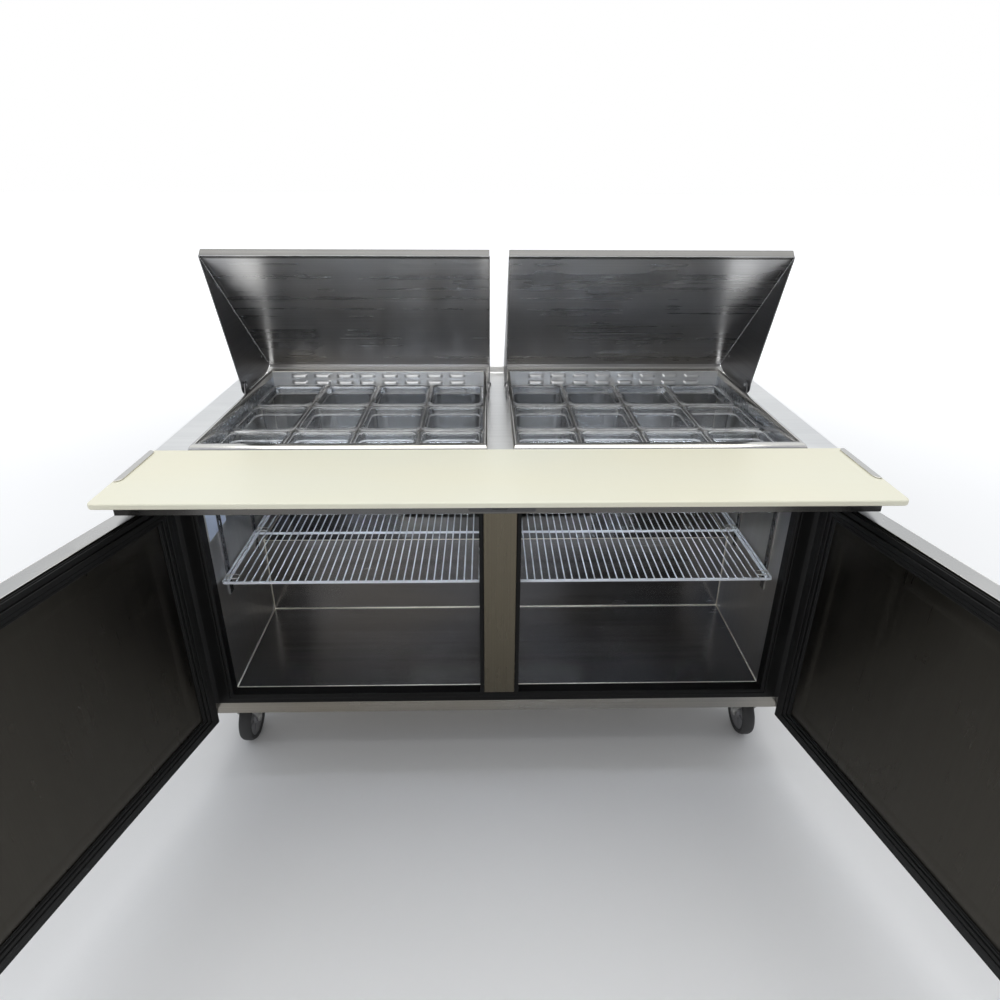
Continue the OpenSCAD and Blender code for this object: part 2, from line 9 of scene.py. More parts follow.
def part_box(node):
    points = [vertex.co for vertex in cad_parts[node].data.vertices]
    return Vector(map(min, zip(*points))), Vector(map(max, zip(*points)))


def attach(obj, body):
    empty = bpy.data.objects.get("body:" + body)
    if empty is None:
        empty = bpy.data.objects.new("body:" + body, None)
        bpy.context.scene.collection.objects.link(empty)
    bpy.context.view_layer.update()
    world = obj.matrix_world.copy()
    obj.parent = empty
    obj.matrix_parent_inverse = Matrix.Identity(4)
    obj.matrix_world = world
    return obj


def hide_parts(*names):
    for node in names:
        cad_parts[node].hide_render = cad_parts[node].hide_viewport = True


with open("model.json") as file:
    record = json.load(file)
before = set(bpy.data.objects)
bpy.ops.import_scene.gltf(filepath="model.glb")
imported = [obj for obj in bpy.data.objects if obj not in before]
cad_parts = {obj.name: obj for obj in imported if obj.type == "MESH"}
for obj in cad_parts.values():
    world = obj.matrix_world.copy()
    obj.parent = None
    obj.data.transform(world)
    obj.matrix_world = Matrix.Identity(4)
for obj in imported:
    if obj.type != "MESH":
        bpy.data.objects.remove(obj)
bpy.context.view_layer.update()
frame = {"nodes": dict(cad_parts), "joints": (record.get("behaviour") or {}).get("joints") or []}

# A refrigerated sandwich prep table: the looks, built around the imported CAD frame.
# Shapes are drawn in millimetres in the frame's own axes: x right, y back, z up.

MM = 0.001
JOINTS = {joint["name"]: joint for joint in frame["joints"]}
SIDES = (("left", -1), ("right", 1))
WELL_X = 355.7          # from the middle of the table to the middle of each well
PAN_WIDTH = 155.95
DOOR_LOW = Vector((2.0, -287.5, 184.0))      # the closed right door's sheet, from corner to corner
DOOR_HIGH = Vector((763.0, -246.5, 832.0))


def cad(node):
    """Lowest and highest corner of a CAD node, in millimetres."""
    low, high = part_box(node)
    return low / MM, high / MM


def pin_of(joint):
    """A point on a joint's axis, in millimetres."""
    return Vector(JOINTS[joint]["pos_m"]) / MM


# ------------------------------------------------------------------ camera

def make_camera():
    """The camera stands in front of the table, a little left of its middle, and looks down at it."""
    place = Vector((-29.9, -1518.5, 1480.7)) * MM
    yaw, pitch, roll = (math.radians(a) for a in (1.257, 22.894, 0.311))
    ahead = Vector((math.sin(yaw) * math.cos(pitch), math.cos(yaw) * math.cos(pitch), -math.sin(pitch)))
    level = Vector((math.cos(yaw), -math.sin(yaw), 0.0))
    upright = level.cross(ahead)
    right = math.cos(roll) * level + math.sin(roll) * upright
    up = -math.sin(roll) * level + math.cos(roll) * upright
    data = bpy.data.cameras.new("camera")
    data.sensor_width = 36.0
    data.lens = 23.19
    data.shift_y = -0.06
    camera = bpy.data.objects.new("camera", data)
    bpy.context.scene.collection.objects.link(camera)
    turn = Matrix((right, up, -ahead)).transposed().to_4x4()
    camera.matrix_world = Matrix.Translation(place) @ turn
    bpy.context.scene.camera = camera


# ------------------------------------------------------------------ materials

class Graph:
    """A material's node tree with short calls for the nodes used here."""

    def __init__(self, name):
        self.material = bpy.data.materials.new(name)
        self.material.use_nodes = True
        self.tree = self.material.node_tree
        self.shader = self.tree.nodes["Principled BSDF"]
        coordinates = self.tree.nodes.new("ShaderNodeTexCoord")
        self.place = coordinates.outputs["Object"]

    def link(self, source, target):
        self.tree.links.new(source, target)

    def noise(self, scale, detail=3.0, distortion=0.0, offset=(0.0, 0.0, 0.0)):
        """Noise from 0 to 1. scale is one number, or one for each axis, in cells to the metre."""
        axes = (scale, scale, scale) if isinstance(scale, (int, float)) else scale
        mapping = self.tree.nodes.new("ShaderNodeMapping")
        mapping.inputs["Scale"].default_value = axes
        mapping.inputs["Location"].default_value = offset
        texture = self.tree.nodes.new("ShaderNodeTexNoise")
        texture.inputs["Scale"].default_value = 1.0
        texture.inputs["Detail"].default_value = detail
        texture.inputs["Distortion"].default_value = distortion
        self.link(self.place, mapping.inputs["Vector"])
        self.link(mapping.outputs["Vector"], texture.inputs["Vector"])
        return texture.outputs["Fac"]

    def spread(self, value, low, high, from_low=0.3, from_high=0.7):
        """Maps a texture's usual range onto low to high."""
        node = self.tree.nodes.new("ShaderNodeMapRange")
        for name, number in (("From Min", from_low), ("From Max", from_high), ("To Min", low),
                             ("To Max", high)):
            node.inputs[name].default_value = number
        self.link(value, node.inputs["Value"])
        return node.outputs["Result"]

    def math(self, operation, a, b):
        node = self.tree.nodes.new("ShaderNodeMath")
        node.operation = operation
        for socket, value in ((node.inputs[0], a), (node.inputs[1], b)):
            if isinstance(value, (int, float)):
                socket.default_value = value
            else:
                self.link(value, socket)
        return node.outputs[0]

    def mix(self, factor, a, b, kind="MIX"):
        node = self.tree.nodes.new("ShaderNodeMix")
        node.data_type = "RGBA"
        node.blend_type = kind
        self.link(factor, node.inputs[0])
        for socket, value in ((node.inputs[6], a), (node.inputs[7], b)):
            if isinstance(value, tuple):
                socket.default_value = (*value, 1.0)
            else:
                self.link(value, socket)
        return node.outputs[2]

    def bump(self, height, strength, distance=0.001, under=None):
        node = self.tree.nodes.new("ShaderNodeBump")
        node.inputs["Strength"].default_value = strength
        node.inputs["Distance"].default_value = distance
        self.link(height, node.inputs["Height"])
        if under is not None:
            self.link(under, node.inputs["Normal"])
        return node.outputs["Normal"]

    def set(self, **values):
        """Sets the shader's own sockets; a name's underscores stand for spaces."""
        for name, value in values.items():
            socket = self.shader.inputs[name.replace("_", " ")]
            if isinstance(value, bpy.types.NodeSocket):
                self.link(value, socket)
            else:
                colour = isinstance(value, tuple) and len(value) == 3
                socket.default_value = (*value, 1.0) if colour else value

    def tangent(self, direction):
        """Stretches the highlights along a direction in the object's own axes."""
        turn = self.tree.nodes.new("ShaderNodeVectorTransform")
        turn.vector_type = "VECTOR"
        turn.convert_from = "OBJECT"
        turn.convert_to = "WORLD"
        turn.inputs[0].default_value = direction
        self.link(turn.outputs[0], self.shader.inputs["Tangent"])


def colour_stops(ramp, stops):
    """Fills a colour ramp node with pairs of position and colour."""
    elements = ramp.color_ramp.elements
    while len(elements) < len(stops):
        elements.new(0.5)
    for element, (position, colour) in zip(elements, stops):
        element.position = position
        element.color = (*colour, 1.0)


LINES = 420.0           # brush lines to the metre


def steel(name, tint, rough, grain="x", stretch=(0.0, -0.4, 1.0), aniso=0.6, cloud=0.12, warm=0.0):
    """Brushed stainless steel: fine lines along the axes in grain, with faint smears, and, as much as warm
    asks, random beige and blue patches that are painted reflections of warm and cool surroundings.
    """
    g = Graph(name)
    fine = tuple(1.2 if axis in grain else LINES for axis in "xyz")
    broad = tuple(0.6 if axis in grain else 60.0 for axis in "xyz")
    lines = g.noise(fine, 2.0)
    bands = g.noise(broad, 2.0)
    smear = g.noise(5.0, 4.0, 0.6)
    darker = tuple(c * (1.0 - cloud) for c in tint)
    lighter = tuple(min(1.0, c * (1.0 + cloud)) for c in tint)
    colour = g.mix(g.spread(lines, 0.0, 1.0), darker, lighter)
    # painted reflection: random beige and blue patches stand for warm and cool surroundings mirrored in the
    # steel
    if warm:
        beige = (tint[0] * 1.06, tint[1] * 0.98, tint[2] * 0.84)
        blue = (tint[0] * 0.90, tint[1] * 0.98, tint[2] * 1.12)
        painted_reflection = g.mix(g.spread(g.noise(2.4, 1.0), 0.0, 1.0), beige, blue)
        colour = g.mix(g.spread(lines, 1.0 - warm, 1.0 - warm * 0.6), painted_reflection, colour)
    roughness = g.math("ADD", g.spread(bands, rough - 0.04, rough + 0.05), g.spread(smear, -0.03, 0.05))
    g.set(Base_Color=colour, Metallic=1.0, Roughness=roughness, Anisotropic=aniso,
          Normal=g.bump(lines, 0.05, 0.0004))
    g.tangent(stretch)
    return g.material


def moulded(name, colour, rough, grain=180.0, bump=0.12, cloud=0.1, **more):
    """Moulded plastic or rubber: a fine pebble and slight patches in colour and gloss."""
    g = Graph(name)
    pebble = g.noise(grain, 3.0)
    patch = g.noise(6.0, 3.0)
    dark = tuple(c * (1.0 - cloud) for c in colour)
    light = tuple(min(1.0, c * (1.0 + cloud)) for c in colour)
    g.set(Base_Color=g.mix(g.spread(patch, 0.0, 1.0), dark, light),
          Roughness=g.spread(patch, rough - 0.05, rough + 0.07), Normal=g.bump(pebble, bump, 0.0005),
          **more)
    return g.material


def board_plastic():
    """Ivory cutting board: fine cross scratches, a soft stain or two, and a satin face."""
    g = Graph("board_ivory")
    cuts = g.noise((12.0, 500.0, 40.0), 2.0, 0.8)
    cross = g.noise((420.0, 14.0, 40.0), 2.0, 0.8, (3.0, 0.0, 0.0))
    warmth = g.noise((1.3, 3.0, 3.0), 2.0)
    base = g.mix(g.spread(warmth, 0.0, 1.0), (0.74, 0.735, 0.62), (0.77, 0.735, 0.57))
    marked = g.mix(g.spread(cuts, 0.0, 0.10, 0.62, 0.8), base, (0.62, 0.58, 0.45))
    scratches = g.math("ADD", cuts, cross)
    g.set(Base_Color=marked, Roughness=g.spread(scratches, 0.30, 0.42, 0.8, 1.2),
          Normal=g.bump(scratches, 0.05, 0.0004), Subsurface_Weight=0.0)
    return g.material


def clear_plastic():
    """Clear polycarbonate with faint scuffs."""
    g = Graph("clear_polycarbonate")
    scuffs = g.noise((90.0, 90.0, 30.0), 3.0, 0.4)
    g.set(Base_Color=(0.96, 0.975, 0.99), Roughness=g.spread(scuffs, 0.01, 0.07, 0.5, 0.8),
          Transmission_Weight=0.96, IOR=1.46)
    return g.material


def lip_highlight_plastic():
    """The pans' rolled lips and shoulders: the same plastic, whitened and less clear, a painted highlight for
    the bright lines that light makes along them.
    """
    g = Graph("polycarbonate_painted_highlight")
    whitening = g.noise((60.0, 60.0, 20.0), 3.0, 0.4)
    g.set(Base_Color=(0.97, 0.98, 0.99), Roughness=g.spread(whitening, 0.10, 0.22),
          Transmission_Weight=g.spread(whitening, 0.72, 0.45), IOR=1.46)
    return g.material


def enamel(name, colour, rough):
    """Dipped epoxy or paint over metal: a slight orange peel."""
    g = Graph(name)
    peel = g.noise(260.0, 2.0)
    patch = g.noise(9.0, 2.0)
    pale = tuple(min(1.0, c * 1.04) for c in colour)
    g.set(Base_Color=g.mix(g.spread(patch, 0.0, 1.0), tuple(c * 0.94 for c in colour), pale),
          Roughness=g.spread(patch, rough - 0.04, rough + 0.05), Normal=g.bump(peel, 0.06, 0.0003),
          Coat_Weight=0.3)
    return g.material


def foam():
    """Rigid polyurethane foam: a cratered, uneven yellow."""
    g = Graph("foam_yellow")
    cells = g.noise(140.0, 5.0)
    g.set(Base_Color=g.mix(g.spread(cells, 0.0, 1.0), (0.62, 0.52, 0.28), (0.83, 0.75, 0.50)),
          Roughness=0.9, Normal=g.bump(cells, 0.5, 0.002))
    return g.material


def make_materials():
    """Every material of the table, by a short name."""
    return {
        "hood": steel("steel_hood", (0.50, 0.50, 0.51), 0.28, "x", (0.0, -0.7, 0.7), 0.7, 0.08, 0.3),
        # painted shade: the wings and pivot ears take a darker copy of the hood's steel
        "hood_side": steel("steel_hood_side", (0.30, 0.30, 0.31), 0.36, "y", (0.0, 0.0, 1.0), 0.0, 0.08),
        # painted shade: the hoods' rolled tips take a dark copy of the steel
        "hood_edge": steel("steel_hood_edge", (0.17, 0.168, 0.162), 0.30, "x", (0.0, -0.7, 0.7), 0.7, 0.06),
        "deck": steel("steel_deck", (0.84, 0.84, 0.83), 0.34, "x", (0.0, 1.0, 0.3), 0.5, 0.05),
        "frame": steel("steel_frame", (0.74, 0.72, 0.68), 0.16, "x", (0.0, -0.7, 0.7), 0.5, 0.05),
        "well": steel("steel_well", (0.72, 0.74, 0.77), 0.24, "x", (0.0, 0.0, 1.0), 0.5, 0.06),
        # painted light: the wells' louvred rear walls take a near-white, bluish copy of the steel, lighter
        # than the well walls
        "vent": steel("steel_vent", (0.96, 0.98, 1.0), 0.36, "x", (0.0, 0.0, 1.0), 0.4, 0.05),
        # painted highlight: the corner seams take a light, dull copy of the steel
        "seam": steel("steel_seam", (0.92, 0.88, 0.80), 0.42, "x", (0.0, 0.0, 1.0), 0.0, 0.05),
        "outer": steel("steel_outer", (0.60, 0.59, 0.57), 0.26, "xy", (0.0, 0.0, 1.0), 0.6, 0.05, 0.12),
        # painted shade: the base pan takes a dark, brownish copy of the steel
        "base": steel("steel_base", (0.32, 0.30, 0.265), 0.22, "x", (0.0, 0.0, 1.0), 0.6, 0.12, 0.5),
        # painted shade: the front rail's body takes a near-black copy of the steel
        "rail": steel("steel_rail", (0.11, 0.107, 0.103), 0.22, "x", (0.0, 0.0, 1.0), 0.6, 0.07, 0.5),
        # painted shade: the cabinet's floor, rear, ceiling and wall standards take a dark copy of the walls'
        # steel
        "inner": steel("steel_inner", (0.23, 0.23, 0.235), 0.20, "x", (0.0, -0.4, 1.0), 0.6, 0.07, 0.5),
        # painted shade: the centre post takes a dark, brownish copy of the steel
        "mullion": steel("steel_mullion", (0.125, 0.11, 0.082), 0.26, "z", (1.0, 0.0, 0.0), 0.3, 0.05),
        "wall": steel("steel_wall", (0.58, 0.57, 0.55), 0.34, "z", (0.0, 0.4, 1.0), 0.4, 0.06, 0.4),
        # painted shade: the doors' inner faces take a near-black copy of the steel
        "liner": steel("steel_door_liner", (0.066, 0.061, 0.052), 0.30, "z", (1.0, 0.0, 0.3), 0.3, 0.03),
        "zinc": steel("zinc_plate", (0.58, 0.58, 0.57), 0.32, "z", (0.0, 0.0, 1.0), 0.1, 0.12),
        "chrome": steel("chrome_head", (0.80, 0.80, 0.80), 0.10, "z", (0.0, 0.0, 1.0), 0.0, 0.04),
        "fins": steel("fin_aluminium", (0.62, 0.67, 0.74), 0.34, "z", (0.0, 0.0, 1.0), 0.2, 0.08),
        "copper": steel("copper_tube", (0.72, 0.40, 0.24), 0.28, "x", (0.0, 0.0, 1.0), 0.1, 0.15),
        "board": board_plastic(),
        "pan": clear_plastic(),
        "pan_edge": lip_highlight_plastic(),
        "black": moulded("black_strip", (0.004, 0.004, 0.004), 0.38, Specular_IOR_Level=0.15),
        "gasket": moulded("gasket_black", (0.006, 0.006, 0.006), 0.5, 220.0, 0.2, Specular_IOR_Level=0.25),
        "tread": moulded("caster_tread", (0.035, 0.035, 0.036), 0.62, 260.0, 0.35),
        "hub": moulded("caster_hub", (0.22, 0.22, 0.23), 0.45),
        "badge": moulded("badge_black", (0.018, 0.018, 0.022), 0.22, 300.0, 0.03, Coat_Weight=0.5),
        "grey_plastic": moulded("control_grey", (0.42, 0.43, 0.43), 0.45),
        "paper": moulded("blank_sheet", (0.60, 0.68, 0.84), 0.55, 90.0, 0.1, 0.06),
        "white": enamel("white_epoxy", (0.82, 0.86, 0.93), 0.26),
        "black_paint": enamel("black_paint", (0.02, 0.02, 0.02), 0.35),
        "foam": foam(),
    }


# ------------------------------------------------------------------ shapes

def arc(cx, cy, r, start, end, steps):
    """Points on an arc, in degrees."""
    turns = (math.radians(start + (end - start) * i / steps) for i in range(steps + 1))
    return [(cx + r * math.cos(a), cy + r * math.sin(a)) for a in turns]


def rounded(width, depth, r, steps=5):
    """Outline of a rectangle about the origin, with round corners."""
    x, y = width / 2 - r, depth / 2 - r
    return (arc(x, y, r, 0, 90, steps) + arc(-x, y, r, 90, 180, steps)
            + arc(-x, -y, r, 180, 270, steps) + arc(x, -y, r, 270, 360, steps))


def between(x0, y0, x1, y1, r, steps=5):
    """Outline of a rectangle between two corners, with round corners."""
    cx, cy = (x0 + x1) / 2, (y0 + y1) / 2
    return [(cx + x, cy + y) for x, y in rounded(x1 - x0, y1 - y0, r, steps)]


# turns a shape drawn along z so that it lies along another axis
TURNS = {
    "x": Matrix(((0, 0, 1), (1, 0, 0), (0, 1, 0))),
    "y": Matrix(((0, 1, 0), (0, 0, 1), (1, 0, 0))),
    "z": Matrix.Identity(3),
}


class Shape:
    """Collects closed solids, in millimetres. Faces take the material number in self.mark."""

    def __init__(self):
        self.points, self.faces, self.marks = [], [], []
        self.mark = 0

    def add(self, points, faces):
        base = len(self.points)
        self.points += [tuple(p) for p in points]
        self.faces += [tuple(base + i for i in face) for face in faces]
        self.marks += [self.mark] * len(faces)

    def loft(self, rings, closed=False):
        """Skins rings of equal length. Its ends are capped, unless the last ring joins the first."""
        n, count = len(rings[0]), len(rings)
        faces = []
        for k in range(count if closed else count - 1):
            a, b = k * n, (k + 1) % count * n
            faces += [(a + i, a + (i + 1) % n, b + (i + 1) % n, b + i) for i in range(n)]
        if not closed:
            faces += [tuple(range(n)), tuple(range((count - 1) * n, count * n))]
        self.add([p for ring in rings for p in ring], faces)

    def prism(self, outline, axis, start, end):
        """An outline pushed along an axis. It is drawn in the other two axes, in their order."""
        def lift(u, v, w):
            return {"x": (w, u, v), "y": (u, w, v), "z": (u, v, w)}[axis]
        self.loft([[lift(u, v, w) for u, v in outline] for w in (start, end)])

    def box(self, low, high):
        self.prism([(low[0], low[1]), (high[0], low[1]), (high[0], high[1]), (low[0], high[1])], "z",
                   low[2], high[2])

    def tube(self, path, r, sides=10, round_ends=True, loop=False):
        """A round bar along a path of points."""
        path = [Vector(p) for p in path]
        count = len(path)
        if loop:
            ways = [(path[(i + 1) % count] - path[i - 1]).normalized() for i in range(count)]
        else:
            ways = [(path[min(i + 1, count - 1)] - path[max(i - 1, 0)]).normalized() for i in range(count)]
        side = ways[0].orthogonal().normalized()
        rings = []
        for point, way in zip(path, ways):
            side = (side - way * side.dot(way)).normalized()
            other = way.cross(side)
            rings.append([point + r * (math.cos(a) * side + math.sin(a) * other)
                          for a in (2 * math.pi * i / sides for i in range(sides))])
        if round_ends and not loop:
            def shrink(ring, centre, way, sign):
                return [[centre + (p - centre) * f + way * sign * r * g for p in ring]
                        for f, g in ((0.8, 0.6), (0.3, 0.95))]
            first, last = rings[0], rings[-1]
            rings = (shrink(first, path[0], ways[0], -1)[::-1] + rings
                     + shrink(last, path[-1], ways[-1], 1))
        self.loft(rings, closed=loop)

    def lathe(self, profile, centre, axis, sides=32):
        """A profile of (radius, height) points, from the axis and back to it, turned about the axis."""
        turn = TURNS[axis]
        rings = []
        for r, h in profile:
            r = max(r, 0.02)
            rings.append([Vector(centre) + turn @ Vector((r * math.cos(a), r * math.sin(a), h))
                          for a in (2 * math.pi * i / sides for i in range(sides))])
        self.loft(rings)

    def collar(self, profile, centre, axis, sides=40):
        """A closed profile of (radius, height) points turned about an axis: a wheel, a ring or a bush."""
        turn = TURNS[axis]
        rings = [[Vector(centre) + turn @ Vector((r * math.cos(a), r * math.sin(a), h)) for r, h in profile]
                 for a in (2 * math.pi * i / sides for i in range(sides))]
        self.loft(rings, closed=True)

    def slab_with_holes(self, xs, ys, holes, z0, z1):
        """A flat plate on a grid of x and y lines, with the cells in holes left open."""
        nx, ny = len(xs) - 1, len(ys) - 1
        solid = {(i, j) for i in range(nx) for j in range(ny)} - set(holes)
        layer = len(xs) * len(ys)
        points = [(x, y, z) for z in (z0, z1) for y in ys for x in xs]

        def at(i, j, k):
            return k * layer + j * len(xs) + i

        faces = []
        for i, j in sorted(solid):
            corners = ((i, j), (i + 1, j), (i + 1, j + 1), (i, j + 1))
            faces.append(tuple(at(a, b, 1) for a, b in corners))
            faces.append(tuple(at(a, b, 0) for a, b in reversed(corners)))
            for k, beyond in enumerate(((i, j - 1), (i + 1, j), (i, j + 1), (i - 1, j))):
                if beyond not in solid:
                    (a, b), (c, d) = corners[k], corners[(k + 1) % 4]
                    faces.append((at(a, b, 0), at(c, d, 0), at(c, d, 1), at(a, b, 1)))
        self.add(points, faces)

    def moved(self, matrix):
        """The same shape through a matrix in millimetres."""
        self.points = [tuple(matrix @ Vector(p)) for p in self.points]
        return self


MATERIALS = {}


def piece(name, shape, body, materials, replaces=(), bevel=0.0, steps=2, crease=35.0):
    """Makes the object, rides it on its CAD body and hides the CAD nodes that it stands for."""
    mesh = bpy.data.meshes.new(name)
    mesh.from_pydata([(x * MM, y * MM, z * MM) for x, y, z in shape.points], [], shape.faces)
    for material in (materials,) if isinstance(materials, str) else materials:
        mesh.materials.append(MATERIALS[material])
    mesh.polygons.foreach_set("material_index", shape.marks)
    edit = bmesh.new()
    edit.from_mesh(mesh)
    bmesh.ops.delete(edit, geom=[v for v in edit.verts if not v.link_faces], context="VERTS")
    bmesh.ops.recalc_face_normals(edit, faces=edit.faces)
    edit.to_mesh(mesh)
    edit.free()
    mesh.shade_smooth()
    mesh.set_sharp_from_angle(angle=math.radians(crease))
    thing = bpy.data.objects.new(name, mesh)
    bpy.context.scene.collection.objects.link(thing)
    if bevel:
        modifier = thing.modifiers.new("edges", "BEVEL")
        modifier.width = bevel * MM
        modifier.segments = steps
        modifier.limit_method = "ANGLE"
        modifier.angle_limit = math.radians(40)
        modifier.harden_normals = True
    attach(thing, body)
    if replaces:
        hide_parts(*((replaces,) if isinstance(replaces, str) else replaces))
    return thing


def dress(node, material, front=None):
    """Gives a CAD node that stays in view its material, and another to its forward faces if front is set."""
    thing = frame["nodes"][node]
    thing.data.materials.clear()
    thing.data.materials.append(MATERIALS[material])
    if front:
        thing.data.materials.append(MATERIALS[front])
    for face in thing.data.polygons:
        face.material_index = 1 if front and face.normal.y < -0.9 else 0


# ------------------------------------------------------------------ worktop, rail and cutting board

def rivets(shape, places, axis, r=3.0, height=1.4):
    """Low domed heads, each standing on a surface. The sign of height sets the way they face."""
    for place in places:
        shape.lathe([(0, 0), (r, 0), (r * 0.9, height * 0.5), (r * 0.55, height * 0.88), (0, height)],
                    place, axis, 14)


def make_cutting_board():
    """A full-length slab with round corners and eased edges."""
    low, high = cad("cutting_board")
    shape = Shape()
    shape.prism(between(low.x, low.y, high.x, high.y, 12, 8), "z", low.z, high.z)
    piece("board_slab", shape, "cutting_board", "board", "cutting_board", bevel=3.6, steps=4)


def make_board_brackets():
    """A bent plate over each end of the board, with round corners and two screws at its outer side."""
    low, high = cad("board_brackets")
    leaf, reach = 2.0, 25.0
    shape = Shape()
    depth = high.y - low.y
    middle_y = (low.y + high.y) / 2
    for sign in (-1, 1):
        outline = [(x, y) for x, y in rounded(2 * reach, depth, 14, 6) if x <= 0.01]
        plate = [(sign * (high.x - 1 + x), middle_y + y) for x, y in outline]
        shape.prism(plate, "z", high.z - leaf, high.z)
        leg = [(y, z) for y, z in rounded(depth, 2 * (high.z - low.z) - 2, 10, 6) if z <= 0.01]
        shape.prism([(middle_y + y, high.z - 1 + z) for y, z in leg], "x",
                    sign * (high.x - 2.4 - leaf), sign * (high.x - 2.2))
        for y in (low.y + 30, high.y - 30):
            shape.lathe([(0, 0), (5, 0), (4.6, sign * 1.2), (3, sign * 2.0), (0, sign * 2.2)],
                        (sign * (high.x - 2.3), y, high.z - 28), "x", 20)
    piece("board_end_brackets", shape, "table", "frame", "board_brackets", bevel=0.6)


def make_worktop():
    """The top sheet with its two well openings, folded edges and the lip along the back."""
    low, high = cad("worktop")
    liner_low, liner_high = cad("well_liners")
    deck = cad("well_frames")[0].z
    lip = 6.0
    outer_x = liner_high.x
    inner_x = 2 * WELL_X - outer_x
    xs = [low.x, -outer_x, -inner_x, inner_x, outer_x, high.x]
    ys = [low.y, liner_low.y, liner_high.y, high.y]
    shape = Shape()
    shape.slab_with_holes(xs, ys, [(1, 1), (3, 1)], low.z, deck)
    cove = arc(high.y - lip - 4, deck + 4, 4, 270, 360, 4)
    crest = arc(high.y - 2, high.z - 2, 2, 90, 0, 4)
    inner_crest = arc(high.y - lip + 2, high.z - 2, 2, 180, 90, 4)
    section = ([(high.y - lip - 4, deck - 1)] + cove + [(high.y - lip, high.z - 2)] + inner_crest
               + crest + [(high.y, deck - 1)])
    shape.prism(section, "x", low.x, high.x)
    piece("worktop_sheet", shape, "table", "deck", "worktop", bevel=2.2, steps=3)


def make_front_rail():
    """The rail under the cutting board: its body is a near-black copy of the steel, painted shade, under a
    bright top sheet in the worktop's steel, and the blank badge on its face.
    """
    low, high = cad("front_rail")
    shape = Shape()
    cover = 0.6
    # painted shade: the body takes the near-black rail steel
    shape.box(low, (high.x, high.y, high.z - cover))
    shape.mark = 1
    shape.box((low.x + 3, low.y + 3, high.z - 2 * cover), (high.x - 3, high.y, high.z))
    piece("rail_box", shape, "table", ("rail", "deck"), "front_rail", bevel=2.4, steps=3)
    low, high = cad("badge_plate")
    rim, window = 4.0, 32.0
    x = (low.x + high.x) / 2 - rim
    plate = Shape()
    plate.prism(between(low.x, low.z, high.x, high.z, 5), "y", low.y + 1, high.y)
    plate.prism(between(low.x + rim, low.z + rim, high.x - rim, high.z - rim, 3), "y", low.y + 0.6, high.y)
    plate.mark = 1
    plate.prism(between(x - window / 2, low.z + 4.5, x + window / 2, high.z - 4.5, 3), "y", low.y, high.y)
    piece("badge_blank", plate, "table", ("badge", "tread"), "badge_plate", bevel=0.5)


# ------------------------------------------------------------------ wells

def well_box(side):
    """Inner corners of a well's frame: x and y limits, in millimetres."""
    low, high = cad("well_liners")
    leaf = 1.2
    reach = high.x - leaf - WELL_X
    return side * WELL_X - reach, side * WELL_X + reach, low.y + leaf, high.y - leaf


def nested(shape, levels, corner=4.0, steps=3):
    """A closed ring lofted through rectangles: each level is x0, y0, x1, y1, z."""
    shape.loft([[(x, y, z) for x, y in between(x0, y0, x1, y1, corner, steps)]
                for x0, y0, x1, y1, z in levels], closed=True)


def make_well_frames():
    """The raised rims of the wells: a foot, a sloping skirt and a flat top that rolls inwards."""
    low, high = cad("well_frames")
    top, foot = high.z, low.z
    shape = Shape()
    for side in (-1, 1):
        x0, x1, y0, y1 = well_box(side)
        out = high.x - max(abs(x0), abs(x1))
        levels = [
            (x0 - out, low.y, x1 + out, high.y, foot),
            (x0 - out, low.y, x1 + out, high.y, foot + 6),
            (x0 - out + 0.7, low.y + 1.5, x1 + out - 0.7, high.y - 1, foot + 11),
            (x0 - out + 2.6, low.y + 8, x1 + out - 2.6, high.y - 4, top - 0.8),
            (x0 - out + 4.2, low.y + 13, x1 + out - 4.2, high.y - 8, top),
            (x0 - 2.4, y0 - 4, x1 + 2.4, y1 + 3, top),
            (x0 - 0.7, y0 - 1, x1 + 0.7, y1 + 1, top - 0.8),
            (x0, y0, x1, y1, top - 2.6),
            (x0, y0, x1, y1, foot),
        ]
        nested(shape, levels, 1.2, 2)
    piece("well_rims", shape, "table", "frame", "well_frames", crease=50)


def stamped_vent(shape, x, y, z, width, height, depth):
    """A pressed louvre: a hood that swells from the sheet towards -y; its open lower edge is closed by a
    black face, painted shade for the dark inside the opening.
    """
    across, up = 14, 5
    front, back = [], []
    for j in range(up + 1):
        v = j / up
        for i in range(across + 1):
            u = i / across
            ends = min(1.0, math.sin(math.pi * u) * 2.2) ** 0.7
            swell = depth * ends * math.sin(math.pi / 2 * (1 - v)) ** 0.6
            px = x + (u - 0.5) * width
            pz = z - height / 2 + v * height
            front.append((px, y - swell, pz))
            back.append((px, y + 0.4, pz))
    n, m = across + 1, up + 1
    faces = []
    shape.mark = 2
    for j in range(up):
        for i in range(across):
            a = j * n + i
            faces.append((a, a + 1, a + n + 1, a + n))
            faces.append(tuple(n * m + k for k in (a, a + n, a + n + 1, a + 1)))
    for i in range(across):
        a, b = i, (m - 1) * n + i
        faces.append((b, b + 1, n * m + b + 1, n * m + b))
    for j in range(up):
        a, b = j * n, j * n + across
        faces.append((a, a + n, n * m + a + n, n * m + a))
        faces.append((b + n, b, n * m + b, n * m + b + n))
    shape.add(front + back, faces)
    # painted shade: the louvre's mouth is a black face where the opening would show only shade
    shape.mark = 1
    mouth = [(i, i + 1, n * m + i + 1, n * m + i) for i in range(across)]
    shape.add(front + back, mouth)
    shape.mark = 0


